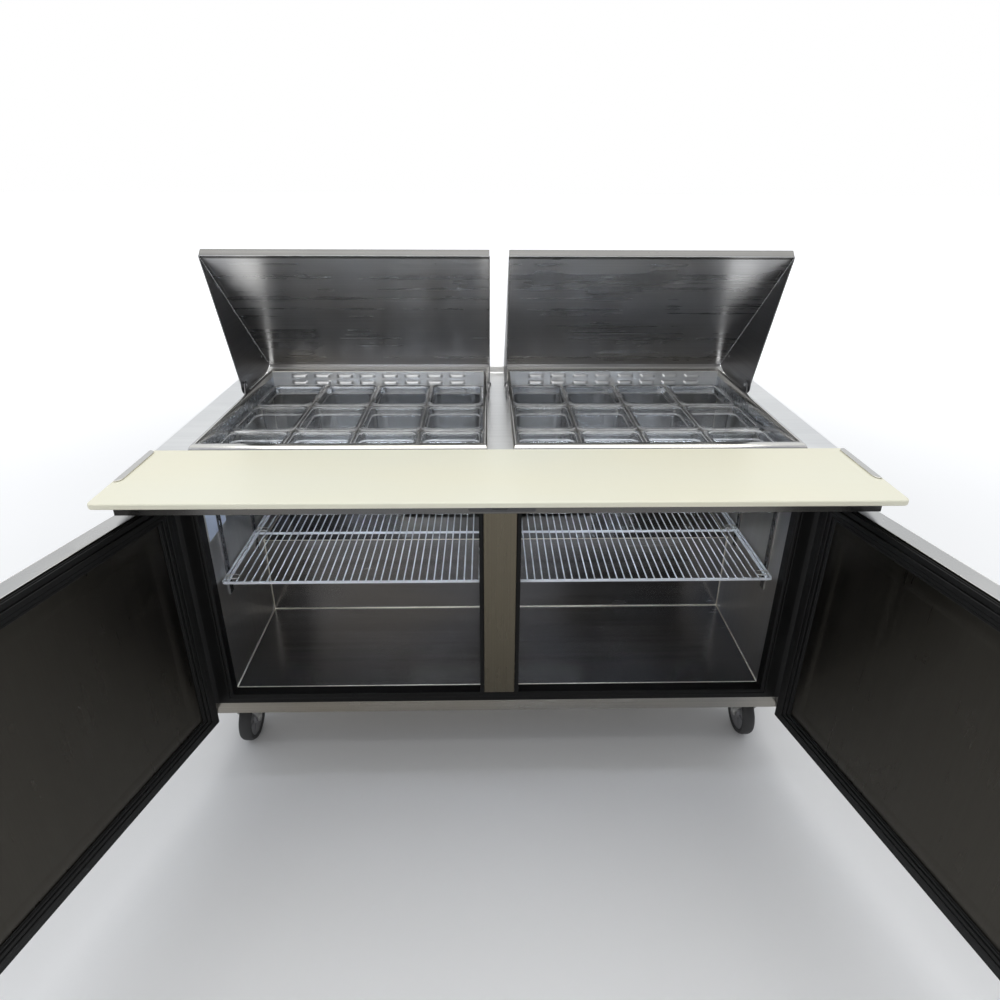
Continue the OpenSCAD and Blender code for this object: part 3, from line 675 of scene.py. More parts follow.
def make_well_liners():
    """The wells' inner sheets: walls, the ledge that carries the dividers, and the louvred rear wall."""
    low, high = cad("well_liners")
    divider_low, divider_high = cad("pan_dividers")
    deck = cad("well_frames")[0].z
    ledge = divider_low.z
    shape = Shape()
    leaf = 1.2
    rows, columns, pitch = 2, 8, 67.6
    for side in (-1, 1):
        x0, x1, y0, y1 = well_box(side)
        shape.mark = 0
        levels = [(x0 - leaf, y0 - leaf, x1 + leaf, y1 + leaf, deck - 0.2),
                  (x0 - leaf, y0 - leaf, x1 + leaf, y1 + leaf, low.z),
                  (x0, y0, x1, y1, low.z), (x0, y0, x1, y1, deck - 0.2)]
        nested(shape, levels, 3, 2)
        nested(shape, [(x0, y0, x1, y1, ledge), (x0, y0, x1, y1, ledge - 2.5),
                       (x0 + 6, y0 + 6, x1 - 6, y1 - 6, ledge - 2.5),
                       (x0 + 6, y0 + 6, x1 - 6, y1 - 6, ledge)], 3, 2)
        face = y1 - leaf - 0.3
        # painted light: the rear wall and its louvres take the near-white vent steel
        shape.mark = 2
        shape.box((x0, face, divider_high.z), (x1, y1, high.z - 2.6))
        for i in range(columns):
            for j in range(rows):
                stamped_vent(shape, WELL_X * side + (i - (columns - 1) / 2) * pitch, face,
                             high.z - 15 - 21 * j, 48, 11, 4.5)
    piece("well_sheets", shape, "table", ("well", "black", "vent"), "well_liners",
          bevel=0.0, crease=50)


def make_pan_dividers():
    """Channel bars between the pans, with rounded tops and a groove along their middle."""
    low, high = cad("pan_dividers")
    shape = Shape()
    half = [(4, low.z), (4, high.z - 1.2), (2.8, high.z), (1.4, high.z - 0.1)]
    for side in (-1, 1):
        x0, x1, y0, y1 = well_box(side)
        for i in (1, 2, 3):
            x = x0 + (x1 - x0) * i / 4
            left, right = [(x - u, z) for u, z in half], [(x + u, z) for u, z in half[::-1]]
            shape.prism(left + [(x, high.z - 1.4)] + right, "y", y0, y1 - 1.5)
        for j in (1, 2):
            y = y0 + (y1 - y0) * j / 3
            shape.box((x0, y - 6, low.z), (x1, y + 6, high.z - 0.8))
    piece("divider_channels", shape, "table", "frame", "pan_dividers", bevel=0.8)


def pan_solid(shape, x, y, low, high, width, depth):
    """One sixth-size pan: rolled lip, stacking shoulder, tapered walls and a round-cornered bottom."""
    wall = 2.4
    height = high - low
    sections = [
        (width - 34, depth - 38, 16, 0.0), (width - 27, depth - 31, 18, 1.2),
        (width - 23.5, depth - 27.5, 19, 6.0),
        (width - 17, depth - 21.5, 20, height - 30), (width - 16.5, depth - 21, 20, height - 24),
        (width - 12.5, depth - 17, 20, height - 21), (width - 12, depth - 16.5, 20, height - 5),
        (width - 11, depth - 15.5, 20, height - 3.2), (width - 1.6, depth - 1.6, 21, height - 3.2),
        (width - 1.2, depth - 1.2, 21, height - 5.0), (width, depth, 21.5, height - 5.0),
        (width, depth, 21.5, height - 1.2),
        (width - 1.4, depth - 1.4, 21, height), (width - 14, depth - 18, 19.5, height),
        (width - 16.4, depth - 20.8, 18.6, height - 1.6), (width - 16.8, depth - 21.2, 18.4, height - 20),
        (width - 20.8, depth - 25.4, 18, height - 24), (width - 21.8, depth - 26.4, 18, height - 31),
        (width - 28.3, depth - 32.4, 17, 7.2), (width - 32, depth - 36, 15.5, wall + 1.0),
        (width - 40, depth - 44, 13, wall),
    ]
    rings = [[(x + u, y + v, low + z) for u, v in rounded(w, d, r, 6)] for w, d, r, z in sections]
    first, count = len(shape.marks), len(rings[0])
    shape.loft(rings)
    # painted highlight: these bands of the lips and shoulders take the whitened plastic
    highlight_bands = (4, 8, 10, 11, 13, 15, 18)
    for band in highlight_bands:
        start = first + band * count
        shape.marks[start:start + count] = [1] * count


def make_pans():
    """Twelve clear pans in each well. The four of a row are one piece."""
    for name, side in SIDES:
        for row in ("front", "middle", "rear"):
            node = f"pans_{name}_{row}"
            low, high = cad(node)
            pitch = (high.x - low.x - PAN_WIDTH) / 3
            shape = Shape()
            for i in range(4):
                pan_solid(shape, low.x + PAN_WIDTH / 2 + i * pitch, (low.y + high.y) / 2, low.z, high.z,
                          PAN_WIDTH, high.y - low.y)
            piece(f"clear_pans_{name}_{row}", shape, node, ("pan", "pan_edge"), node,
                  crease=50)


# ------------------------------------------------------------------ hoods

def hood_lines(name, side):
    """The hood's pin, the foot and tip of its inner face, and the way the face looks, in y and z."""
    pin = pin_of(f"hood_{name}_hinge")
    low, high = cad(f"hood_{name}_panel")
    thick = 20.0
    slope = math.radians(44.7)
    out = Vector((0, math.sin(slope), math.cos(slope)))
    run = Vector((0, -math.cos(slope), math.sin(slope)))
    foot = Vector((0, high.y - thick * out.y, pin.z - 4.0))
    length = (high.z - thick * out.z - foot.z) / run.z
    return pin, foot, run, out, length, thick, low.x, high.x


def make_hoods():
    """The two open hoods: a brushed inner face, an outer skin, and a wing at each end."""
    for name, side in SIDES:
        pin, foot, run, out, length, thick, x0, x1 = hood_lines(name, side)
        local = Matrix((Vector((1, 0, 0)), run, out)).transposed().to_4x4()
        local = Matrix.Translation(foot) @ local
        body = f"hood_{name}"
        low_edge = cad(f"hood_{name}_panel")[0].z

        # panel, drawn flat: x across, y from the foot to the tip, z from the inner face to the outer one
        panel = Shape()
        hem = 9.0
        panel.mark = 0
        panel.slab_with_holes([x0, x0 + hem, x1 - hem, x1], [0, hem, length - hem - 6, length], [(1, 1)],
                              0.0, 1.2)
        panel.box((x0 + 1, 1, 0.6), (x1 - 1, length - 1, 3))
        panel.mark = 2
        panel.box((x0, 0, 1.3), (x1, length - 8, thick))
        # painted shade: the rolled tip takes the dark hood_edge steel
        panel.mark = 1
        panel.prism([(length - 11, 0), (length - 1.5, 0), (length, 1.5), (length, thick - 3),
                     (length - 1.2, thick - 0.8),
                     (length - 3, thick), (length - 11, thick)], "x", x0, x1)
        panel.moved(local)
        panel.mark = 0
        panel.prism([(foot.y - 1.5, low_edge), (foot.y, low_edge), (foot.y + 0.3, foot.z + 0.3),
                     (foot.y - 0.6, foot.z + 0.6)],
                    "x", x0, x1)
        piece(f"hood_{name}_skin", panel, body, ("hood", "hood_edge", "outer"),
              f"hood_{name}_panel", bevel=0.9)

        # wings: thin plates with a hem along their free edge, an ear round the pin, and rivets at the foot
        wing = Shape()
        tip = foot + run * length
        leaf = 1.2
        ear = 22.0
        for way in (-1, 1):
            edge = x0 - leaf if way < 0 else x1
            outline = [(tip.y, tip.z), (foot.y, foot.z)]
            outline += [(foot.y - 30, pin.z - ear + 6), (foot.y - 60, pin.z - ear + 1)]
            outline += arc(pin.y, pin.z, ear, 270, 180, 8)
            outline += [(pin.y - ear, pin.z + 10)]
            wing.mark = 0
            wing.prism(outline, "x", edge, edge + leaf)
            fold = [(tip.y + 2, tip.z - 8), (pin.y - ear + 3, pin.z + 12)]
            inner = edge + leaf if way < 0 else edge
            wing.tube([(inner, y, z) for y, z in fold], 1.1, 8)
            wing.tube([(inner, pin.y + 20, pin.z - ear + 3), (inner, foot.y - 40, pin.z - ear + 5)], 1.3, 8)
            wing.mark = 1
            base = edge if way < 0 else edge + leaf
            wing.lathe([(0, 0), (8.6, 0), (9, way * 0.8), (8.2, way * 2.4), (5.4, way * 3.6), (0, way * 4)],
                       (base, pin.y, pin.z), "x", 28)
            inner_start = base - way * leaf
            bush = sorted((inner_start, inner_start - way * 2.8))
            wing.collar([(4.1, bush[0]), (7.6, bush[0]), (8.4, bush[0] + 0.8), (8.4, bush[1] - 0.8),
                         (7.6, bush[1]), (4.1, bush[1])],
                        (0, pin.y, pin.z), "x", 28)
            wing.lathe([(0, 0), (7, 0), (7, -way * 0.6), (4, -way * 0.9), (4, -way * 6), (0, -way * 6.1)],
                       (inner_start, pin.y, pin.z), "x", 24)
            rivets(wing, [(inner_start, foot.y - k, foot.z + 9 + 0.55 * k) for k in (24, 60)], "x", 3.2,
                   -way * 1.5)
        piece(f"hood_{name}_wing_pair", wing, body, ("hood_side", "chrome"),
              f"hood_{name}_wings",
              bevel=0.0, crease=40)


def make_hood_brackets():
    """The plates that stand on the deck and carry the hoods' pins."""
    low, high = cad("hood_brackets")
    shape = Shape()
    leaf = 3.0
    for name, side in SIDES:
        pin = pin_of(f"hood_{name}_hinge")
        reach = high.x - WELL_X
        for sign in (-1, 1):
            outer = side * WELL_X + sign * reach
            crown = arc(pin.y, pin.z, 12, 0, 180, 10)
            outline = [(low.y, low.z), (high.y, low.z), (high.y - 7, pin.z)] + crown + [(low.y + 7, pin.z)]
            shape.mark = 0
            shape.prism(outline, "x", outer - sign * leaf, outer)
            shape.mark = 1
            for y in (low.y + 8, high.y - 8):
                shape.lathe([(0, 0), (3.6, 0), (3.2, sign * 0.9), (0, sign * 1.3)], (outer, y, low.z + 9),
                            "x", 16)
    piece("hood_pivot_ears", shape, "table", ("hood_side", "chrome"), "hood_brackets",
          bevel=0.5)


# ------------------------------------------------------------------ doors

def door_placing(name, side):
    """Takes a shape drawn on the closed right door to where the open door stands."""
    joint = JOINTS[f"door_{name}_hinge"]
    pin = Vector(joint["pos_m"]) / MM
    pin.x = abs(pin.x)
    turn = Matrix.Translation(pin) @ Matrix.Rotation(math.radians(joint["range_deg"][1]), 4, "Z")
    placed = turn @ Matrix.Translation(-pin)
    return Matrix.Diagonal((side, 1, 1, 1)) @ placed


def frame_ring(shape, inset, width, y0, y1, corner=6):
    """A rectangular ring round the door's back face, from y0 to y1."""
    levels = []
    for edge, y in ((inset, y0), (inset, y1), (inset + width, y1), (inset + width, y0)):
        x0, x1 = DOOR_LOW.x + edge, DOOR_HIGH.x - edge
        z0, z1 = DOOR_LOW.z + edge, DOOR_HIGH.z - edge
        cx, cz = (x0 + x1) / 2, (z0 + z1) / 2
        levels.append([(cx + x, y, cz + z) for x, z in rounded(x1 - x0, z1 - z0, corner, 3)])
    shape.loft(levels, closed=True)


def make_doors():
    """The doors' shells, inner liners and gaskets."""
    grip = (Vector((18, -287.5, 602)), Vector((44, -271.5, 752)))
    for name, side in SIDES:
        placing = door_placing(name, side)
        body = f"door_{name}"

        # shell: a front sheet with a hole for the finger pocket, and the edges folded back round the door
        shell = Shape()
        shell.slab_with_holes([DOOR_LOW.x, grip[0].x, grip[1].x, DOOR_HIGH.x],
                              [DOOR_LOW.z, grip[0].z, grip[1].z, DOOR_HIGH.z], [(1, 1)], DOOR_LOW.y,
                              DOOR_LOW.y + 1.4)
        shell.points = [(x, z, y) for x, y, z in shell.points]
        shell.box((DOOR_LOW.x, DOOR_LOW.y + 1.2, DOOR_LOW.z), (DOOR_LOW.x + 1.4, DOOR_HIGH.y, DOOR_HIGH.z))
        shell.box((DOOR_HIGH.x - 1.4, DOOR_LOW.y + 1.2, DOOR_LOW.z),
                  (DOOR_HIGH.x, DOOR_HIGH.y, DOOR_HIGH.z))
        for z in (DOOR_LOW.z, DOOR_HIGH.z - 1.4):
            shell.box((DOOR_LOW.x + 1.2, DOOR_LOW.y + 1.2, z), (DOOR_HIGH.x - 1.2, DOOR_HIGH.y, z + 1.4))
        # painted shade: the door's back face takes the near-black liner steel
        shell.mark = 1
        shell.box((DOOR_LOW.x + 1.2, DOOR_HIGH.y - 1.4, DOOR_LOW.z + 1.2),
                  (DOOR_HIGH.x - 1.2, DOOR_HIGH.y - 0.1, DOOR_HIGH.z - 1.2))
        shell.mark = 0
        shell.moved(placing)
        piece(f"door_{name}_sheet", shell, body, ("outer", "liner"), f"door_{name}_shell",
              bevel=1.6, steps=3)

        # finger pocket: a pressed cup with a rolled rim
        cup = Shape()
        low, high = grip
        middle = (low + high) / 2
        rings = []
        for grow, y in ((3.5, low.y - 0.0), (3.0, low.y + 0.2), (0, low.y + 1.6), (-1, high.y - 4),
                        (-5, high.y - 1.2), (-13, high.y - 1.0),
                        (-13, high.y + 0.2), (-4, high.y), (0.4, high.y - 4), (1.2, low.y + 2.4),
                        (3.5, low.y + 1.8)):
            half = rounded(high.x - low.x + 2 * grow, high.z - low.z + 2 * grow, max(0.6, 8 + grow),
                           5) if grow > -13 else \
                rounded(2, high.z - low.z - 24, 0.9, 5)
            rings.append([(middle.x + x, y, middle.z + z) for x, z in half])
        cup.loft(rings)
        cup.moved(placing)
        piece(f"door_{name}_grip_cup", cup, body, "frame", crease=45)

        # inner face: a tray pressed with a raised field, inside the gasket
        # painted shade: the tray takes the near-black liner steel
        tray = Shape()
        rings = []
        for inset, y in ((50, DOOR_HIGH.y - 0.2), (50, DOOR_HIGH.y + 0.5), (56, DOOR_HIGH.y + 0.7),
                         (63, DOOR_HIGH.y + 1.9),
                         (80, DOOR_HIGH.y + 2.0), (86, DOOR_HIGH.y + 1.2), (88, DOOR_HIGH.y + 1.2)):
            x0, x1 = DOOR_LOW.x + inset, DOOR_HIGH.x - inset
            z0, z1 = DOOR_LOW.z + inset, DOOR_HIGH.z - inset
            rings.append([((x0 + x1) / 2 + x, y, (z0 + z1) / 2 + z) for x,
                          z in rounded(x1 - x0, z1 - z0, 14, 5)])
        tray.loft(rings)
        tray.moved(placing)
        piece(f"door_{name}_inner_tray", tray, body, "liner", f"door_{name}_liner",
              crease=60)

        # gasket: a dart base, a bellows with two folds and a magnet tube, mitred round the door
        gasket = Shape()
        back = DOOR_HIGH.y
        face = cad("breaker_frame")[0].y - 2.1
        deep = face - back
        for inset, width, y0, y1 in ((4, 46, back, back + 3.2), (6, 12, back + 2, back + deep * 0.72),
                                     (19.5, 11, back + 2, back + deep),
                                     (31.5, 9, back + 2, back + deep * 0.8),
                                     (42, 6, back + 2, back + deep * 0.55)):
            frame_ring(gasket, inset, width, y0, y1, 2.5)
        gasket.moved(placing)
        piece(f"door_{name}_seal", gasket, body, "gasket", f"door_{name}_gasket",
              bevel=1.6, steps=3)

        # hinge bushes in the door's corners
        pin = pin_of(f"door_{name}_hinge")
        bushes = Shape()
        for z0, z1 in ((DOOR_LOW.z - 0.0, DOOR_LOW.z + 4), (DOOR_HIGH.z - 4, DOOR_HIGH.z - 0.0)):
            bushes.collar([(5.3, z0 + 0.1), (10.5, z0 + 0.1), (11, z0 + 0.6), (11, z1 - 0.6),
                           (10.5, z1 - 0.1), (5.3, z1 - 0.1)],
                          (pin.x, pin.y, 0), "z", 28)
        piece(f"door_{name}_bushes", bushes, body, "black")


def make_door_hinges():
    """Brackets above and below each door: folded plates with screws, holding the hinge pins."""
    low, high = cad("door_hinges")
    shape = Shape()
    front = cad("side_panels")[0].y
    for name, side in SIDES:
        pin = pin_of(f"door_{name}_hinge")
        outline = [(pin.x - 15, front)] + arc(pin.x - 5, low.y + 10, 10, 180, 270, 5) + arc(pin.x + 5,
                                                                                            low.y + 10, 10,
                                                                                            270, 360, 5) \
            + [(pin.x + 15, front)]
        shape.mark = 0
        shape.prism(outline, "z", high.z - 4, high.z)
        shape.prism(outline, "z", DOOR_LOW.z - 8, DOOR_LOW.z - 4)
        shape.box((pin.x - 15, front - 4, low.z), (pin.x + 15, front, DOOR_LOW.z - 4))
        shape.mark = 1
        shape.lathe([(0, DOOR_HIGH.z - 19), (4.2, DOOR_HIGH.z - 19), (4.9, DOOR_HIGH.z - 17),
                     (4.9, high.z - 4.2), (0, high.z - 4.2)],
                    (pin.x, pin.y, 0), "z", 24)
        shape.lathe([(0, DOOR_LOW.z - 4.2), (4.9, DOOR_LOW.z - 4.2), (4.9, DOOR_LOW.z + 14),
                     (4.2, DOOR_LOW.z + 16), (0, DOOR_LOW.z + 16)],
                    (pin.x, pin.y, 0), "z", 24)
        shape.collar([(5, DOOR_LOW.z - 4.1), (9, DOOR_LOW.z - 4.1), (9, DOOR_LOW.z - 0.4),
                      (5, DOOR_LOW.z - 0.4)], (pin.x, pin.y, 0), "z", 24)
    piece("hinge_brackets", shape, "table", ("zinc", "chrome"), "door_hinges", bevel=0.7)


# ------------------------------------------------------------------ cabinet

def make_breaker():
    """The black surround of the door openings, with a groove that runs round it."""
    low, high = cad("breaker_frame")
    shape = Shape()
    wide = 28.0
    floor = cad("mullion")[0].z
    top = high.z - wide
    levels = []
    inside = cad("liner_walls")[1].x - 1.5
    jamb = high.x - inside
    inner = (-inside, floor, inside, top)
    bottom = low.z
    for grow_x, grow_low, grow_top, y in (
            (0, 0, 0, high.y), (0, 0, 0, low.y + 2), (1.5, 1.5, 1.5, low.y + 0.4), (7, 7, 7, low.y),
            (9, 9, 9, low.y + 2.2),
            (11, 11, 11, low.y + 2.2), (13, 13, 13, low.y), (jamb, floor - bottom, wide, low.y),
            (jamb, floor - bottom, wide, high.y)):
        x0, x1 = inner[0] - grow_x, inner[2] + grow_x
        z0, z1 = inner[1] - grow_low, inner[3] + grow_top
        levels.append([((x0 + x1) / 2 + x, y, (z0 + z1) / 2 + z) for x,
                       z in rounded(x1 - x0, z1 - z0, 1.5, 2)])
    shape.loft(levels, closed=True)
    post_x = cad("mullion")[1].x
    for sign in (-1, 1):
        x0, x1 = sorted((sign * (post_x + 0.2), sign * (post_x + 10)))
        shape.prism([(x0, high.y), (x0, low.y + 1.2), (x0 + 1.4, low.y), (x1 - 1.4, low.y),
                     (x1, low.y + 1.2),
                     (x1, high.y)], "z", floor, top)
    piece("breaker_strips", shape, "table", "black", "breaker_frame", crease=40)
    low, high = cad("mullion")
    post = Shape()
    post.box(low, high)
    piece("centre_post_cover", post, "table", "mullion", "mullion", bevel=2.0, steps=3)


def make_liner_seams():
    """Weld seams in the corners of the cabinet's inner sheets, and along the floor's front edge, in a light
    steel that paints the highlights along them.
    """
    low, high = cad("liner_floor")
    wall_high = cad("liner_walls")[1]
    shape = Shape()
    inside = wall_high.x - 1.5
    floor, riser, back = high.z, cad("liner_rear")[0].y, wall_high.y
    ledge = 472.0
    for sign in (-1, 1):
        x = sign * (inside - 0.8)
        path = [(x, low.y + 2, floor + 0.8), (x, riser - 1.5, floor + 0.8), (x, riser - 0.8, floor + 1.5),
                (x, riser - 0.8, ledge),
                (x, riser, ledge + 0.8), (x, back - 1.5, ledge + 0.8), (x, back - 0.8, ledge + 1.5),
                (x, back - 0.8, wall_high.z - 1)]
        shape.tube(path, 2.2, 8)
    shape.tube([(-inside, riser - 0.8, floor + 0.8), (inside, riser - 0.8, floor + 0.8)], 2.2, 8)
    shape.tube([(-inside, riser - 0.2, ledge - 0.4), (inside, riser - 0.2, ledge - 0.4)], 1.3, 8)
    shape.tube([(-inside, low.y + 0.9, high.z - 0.2), (inside, low.y + 0.9, high.z - 0.2)], 1.3, 8)
    piece("liner_weld_seams", shape, "table", "seam")


def make_blank_sheet():
    """A blank sheet in a thin holder on the left wall."""
    wall = -cad("liner_walls")[1].x + 1.5
    shape = Shape()
    shape.mark = 1
    shape.prism([(-150 + y, 702 + z) for y, z in rounded(108, 78, 3, 3)], "x", wall, wall + 0.8)
    shape.mark = 0
    shape.prism([(-150 + y, 702 + z) for y, z in rounded(102, 72, 2, 3)], "x", wall + 0.6, wall + 1.2)
    piece("blank_sheet", shape, "table", ("paper", "grey_plastic"), bevel=0.2)


def make_standards():
    """Wire springs on the clips that carry the shelves. The slotted wall standards keep their CAD sheet."""
    spring = cad("shelf_left")[0].z - 7.3
    shape = Shape()
    for sign in (-1, 1):
        for y in (-140, 60):
            x = sign * 680
            shape.tube([(x, y - 10, spring), (x - sign * 8, y - 10, spring), (x - sign * 8, y - 2, spring)],
                       1.2, 8)
            shape.box((min(x, x - sign * 9), y - 11, spring - 3),
                      (max(x, x - sign * 9), y - 1, spring - 1.6))
    piece("clip_springs", shape, "table", "zinc", bevel=0.3)


def make_shelves():
    """The two wire shelves."""
    for name, side in SIDES:
        low, high = cad(f"shelf_{name}")
        shape = Shape()
        bar, wire = 3.5, 1.8
        z = low.z + bar
        x0, x1 = low.x + bar, high.x - bar
        y0, y1 = low.y + bar, high.y - bar
        corner = 9.0
        ring = [(x, y, z) for x, y in ((u + (x0 + x1) / 2, v + (y0 + y1) / 2) for u,
                                       v in rounded(x1 - x0, y1 - y0, corner, 6))]
        shape.tube(ring, bar, 12, loop=True)
        middle = (y0 + y1) / 2
        shape.tube([(x0, middle, z), (x1, middle, z)], bar, 10)
        top = z + bar + wire - 0.8
        for x in (x0 + 8.5, x1 - 8.5):
            shape.tube([(x, y0, z), (x, y1, z)], 2.6, 10)
        count = int((x1 - x0 - 10) // 18.5)
        first = x0 + (x1 - x0 - (count - 1) * 18.5) / 2
        for i in range(count):
            x = first + i * 18.5
            shape.tube([(x, low.y + 0.8, top - 0.1), (x, y1 + bar - 1.2, top - 0.1)], wire, 8)
        for x in (x0 + 4, x1 - 4):
            for y in (y0 + 1, y1 - 1):
                shape.lathe([(0, -2), (3.8, -2), (4.4, 0), (3.8, 2), (0, 2)], (x, y, z), "z", 14)
        outer = x0 if side < 0 else x1
        shape.mark = 1
        for y in (y0 + 14, (y0 + y1) / 2 + 8):
            loop = [(outer - side * (6 + u), y + v, top + 3.2) for u, v in
                    ((0, -7), (26, -7), (31, -2), (31, 5), (26, 10), (0, 10), (-3, 6), (-3, -3))]
            shape.tube(loop, 1.3, 8, loop=True)
            shape.box((min(outer, outer - side * 10), y + 8, z - 2),
                      (max(outer, outer - side * 10), y + 12, top + 2))
        piece(f"wire_shelf_{name}", shape, f"shelf_{name}", ("white", "zinc"),
              f"shelf_{name}", crease=50)


# ------------------------------------------------------------------ machinery

def make_fan(name, node, axis, centre, r, hub, blades, finish="black_paint"):
    """A fan with swept, cupped blades on a round hub."""
    low, high = cad(node)
    shape = Shape()
    way = "xyz".index(axis)
    start, end = low[way], high[way]
    mid, thick = (start + end) / 2, end - start
    across = [i for i in range(3) if i != way]

    def at(radius, angle, h):
        p = [0.0, 0.0, 0.0]
        p[way] = h
        p[across[0]] = centre[across[0]] + radius * math.cos(angle)
        p[across[1]] = centre[across[1]] + radius * math.sin(angle)
        return tuple(p)

    for blade in range(blades):
        base = 2 * math.pi * blade / blades
        rings = []
        for i in range(8):
            t = i / 7
            radius = hub - 2 + (r - hub + 1) * t
            spread_angle = 0.42 + 0.16 * t
            lean = 0.25 * t * t
            outline = []
            for j in range(7):
                s = j / 6 - 0.5
                outline.append(at(radius, base + lean + s * 2 * spread_angle * 0.9,
                                  mid + s * thick * 0.72 - 1.2 * math.cos(math.pi * s) * t + 0.7))
            for j in range(6, -1, -1):
                s = j / 6 - 0.5
                outline.append(at(radius, base + lean + s * 2 * spread_angle * 0.9,
                                  mid + s * thick * 0.72 - 1.2 * math.cos(math.pi * s) * t - 0.7))
            rings.append(outline)
        shape.loft(rings)
    profile = [(4.3, start - centre[way]), (hub - 2, start - centre[way]), (hub, start - centre[way] + 2),
               (hub, end - centre[way] - 2),
               (hub - 2, end - centre[way]), (4.3, end - centre[way])]
    shape.collar(profile, centre, axis, 36)
    piece(name, shape, node, finish, node, crease=40)


def make_evaporator():
    """A wire guard and bolt heads on the evaporator's case, over its fan."""
    low, high = cad("evaporator_case")
    shape = Shape()
    centre = Vector((0, low.y - 3.0, 590))
    for radius in (24, 40, 56, 72):
        ring = [(centre.x + u, centre.y + (3.0 if radius == 72 else 0.0), centre.z + v) for u,
                v in arc(0, 0, radius, 0, 360, 40)[:-1]]
        shape.tube(ring, 1.4, 6, loop=True)
    for k in range(6):
        a = math.radians(30 + 60 * k)
        shape.tube([(centre.x + 24 * math.cos(a), centre.y, centre.z + 24 * math.sin(a)),
                    (centre.x + 66 * math.cos(a), centre.y, centre.z + 66 * math.sin(a)),
                    (centre.x + 74 * math.cos(a), low.y - 0.5, centre.z + 74 * math.sin(a))], 1.4, 6)
    piece("evaporator_guard", shape, "table", "chrome")
    screws = Shape()
    for x in (low.x + 14, -150, 150, high.x - 14):
        for z in (low.z + 12, high.z - 12):
            screws.lathe([(0, 0), (4.2, 0), (3.8, -1.2), (2, -1.9), (0, -2)], (x, low.y, z), "y", 16)
    piece("evaporator_screws", screws, "table", "zinc")


def make_rear():
    """The rear grille's pressed slats and screws, and the pins of the power inlet."""
    low, high = cad("rear_grille")
    shape = Shape()
    shape.slab_with_holes([low.x, -570, -420, -190, -40, 190, 340, high.x],
                          [low.z] + [v for z in range(215, 392, 22) for v in (z, z + 7)] + [high.z],
                          [(i, j) for i in (1, 3, 5) for j in range(1, 18, 2)], high.y - 1.4, high.y - 0.2)
    shape.points = [(x, z, y) for x, y, z in shape.points]
    for x in (-570, -190, 190):
        for z in range(215, 392, 22):
            shape.prism([(high.y - 1.0, z + 7.6), (high.y - 0.2, z + 7.6), (high.y - 5.5, z + 0.4),
                         (high.y - 6.3, z + 0.4)], "x", x, x + 150)
    for x in (low.x + 20, -305, 75, 460, high.x - 20):
        for z in (low.z + 14, high.z - 14):
            shape.lathe([(0, -0.4), (4, -0.4), (3.4, -0.05), (0, 0)], (x, high.y, z), "y", 16)
    piece("rear_louvres", shape, "table", "outer", "rear_grille", crease=40)
    low, high = cad("power_inlet")
    inlet = Shape()
    cx, cz = (low.x + high.x) / 2, (low.z + high.z) / 2
    rings = []
    for width, height, y in ((60, 50, low.y), (60, 50, high.y - 1), (58, 48, high.y), (40, 30, high.y),
                             (36, 26, high.y - 0.8), (36, 26, low.y + 1.5)):
        rings.append([(cx + x, y, cz + z) for x, z in rounded(width, height, 4, 3)])
    inlet.loft(rings)
    inlet.mark = 1
    for x, z in ((-9, -3), (9, -3), (0, 6)):
        inlet.box((cx + x - 1.2, low.y + 1, cz + z - 3), (cx + x + 1.2, high.y - 1.5, cz + z + 3))
    piece("inlet_socket", inlet, "table", ("black", "chrome"), "power_inlet", crease=40)


# ------------------------------------------------------------------ casters

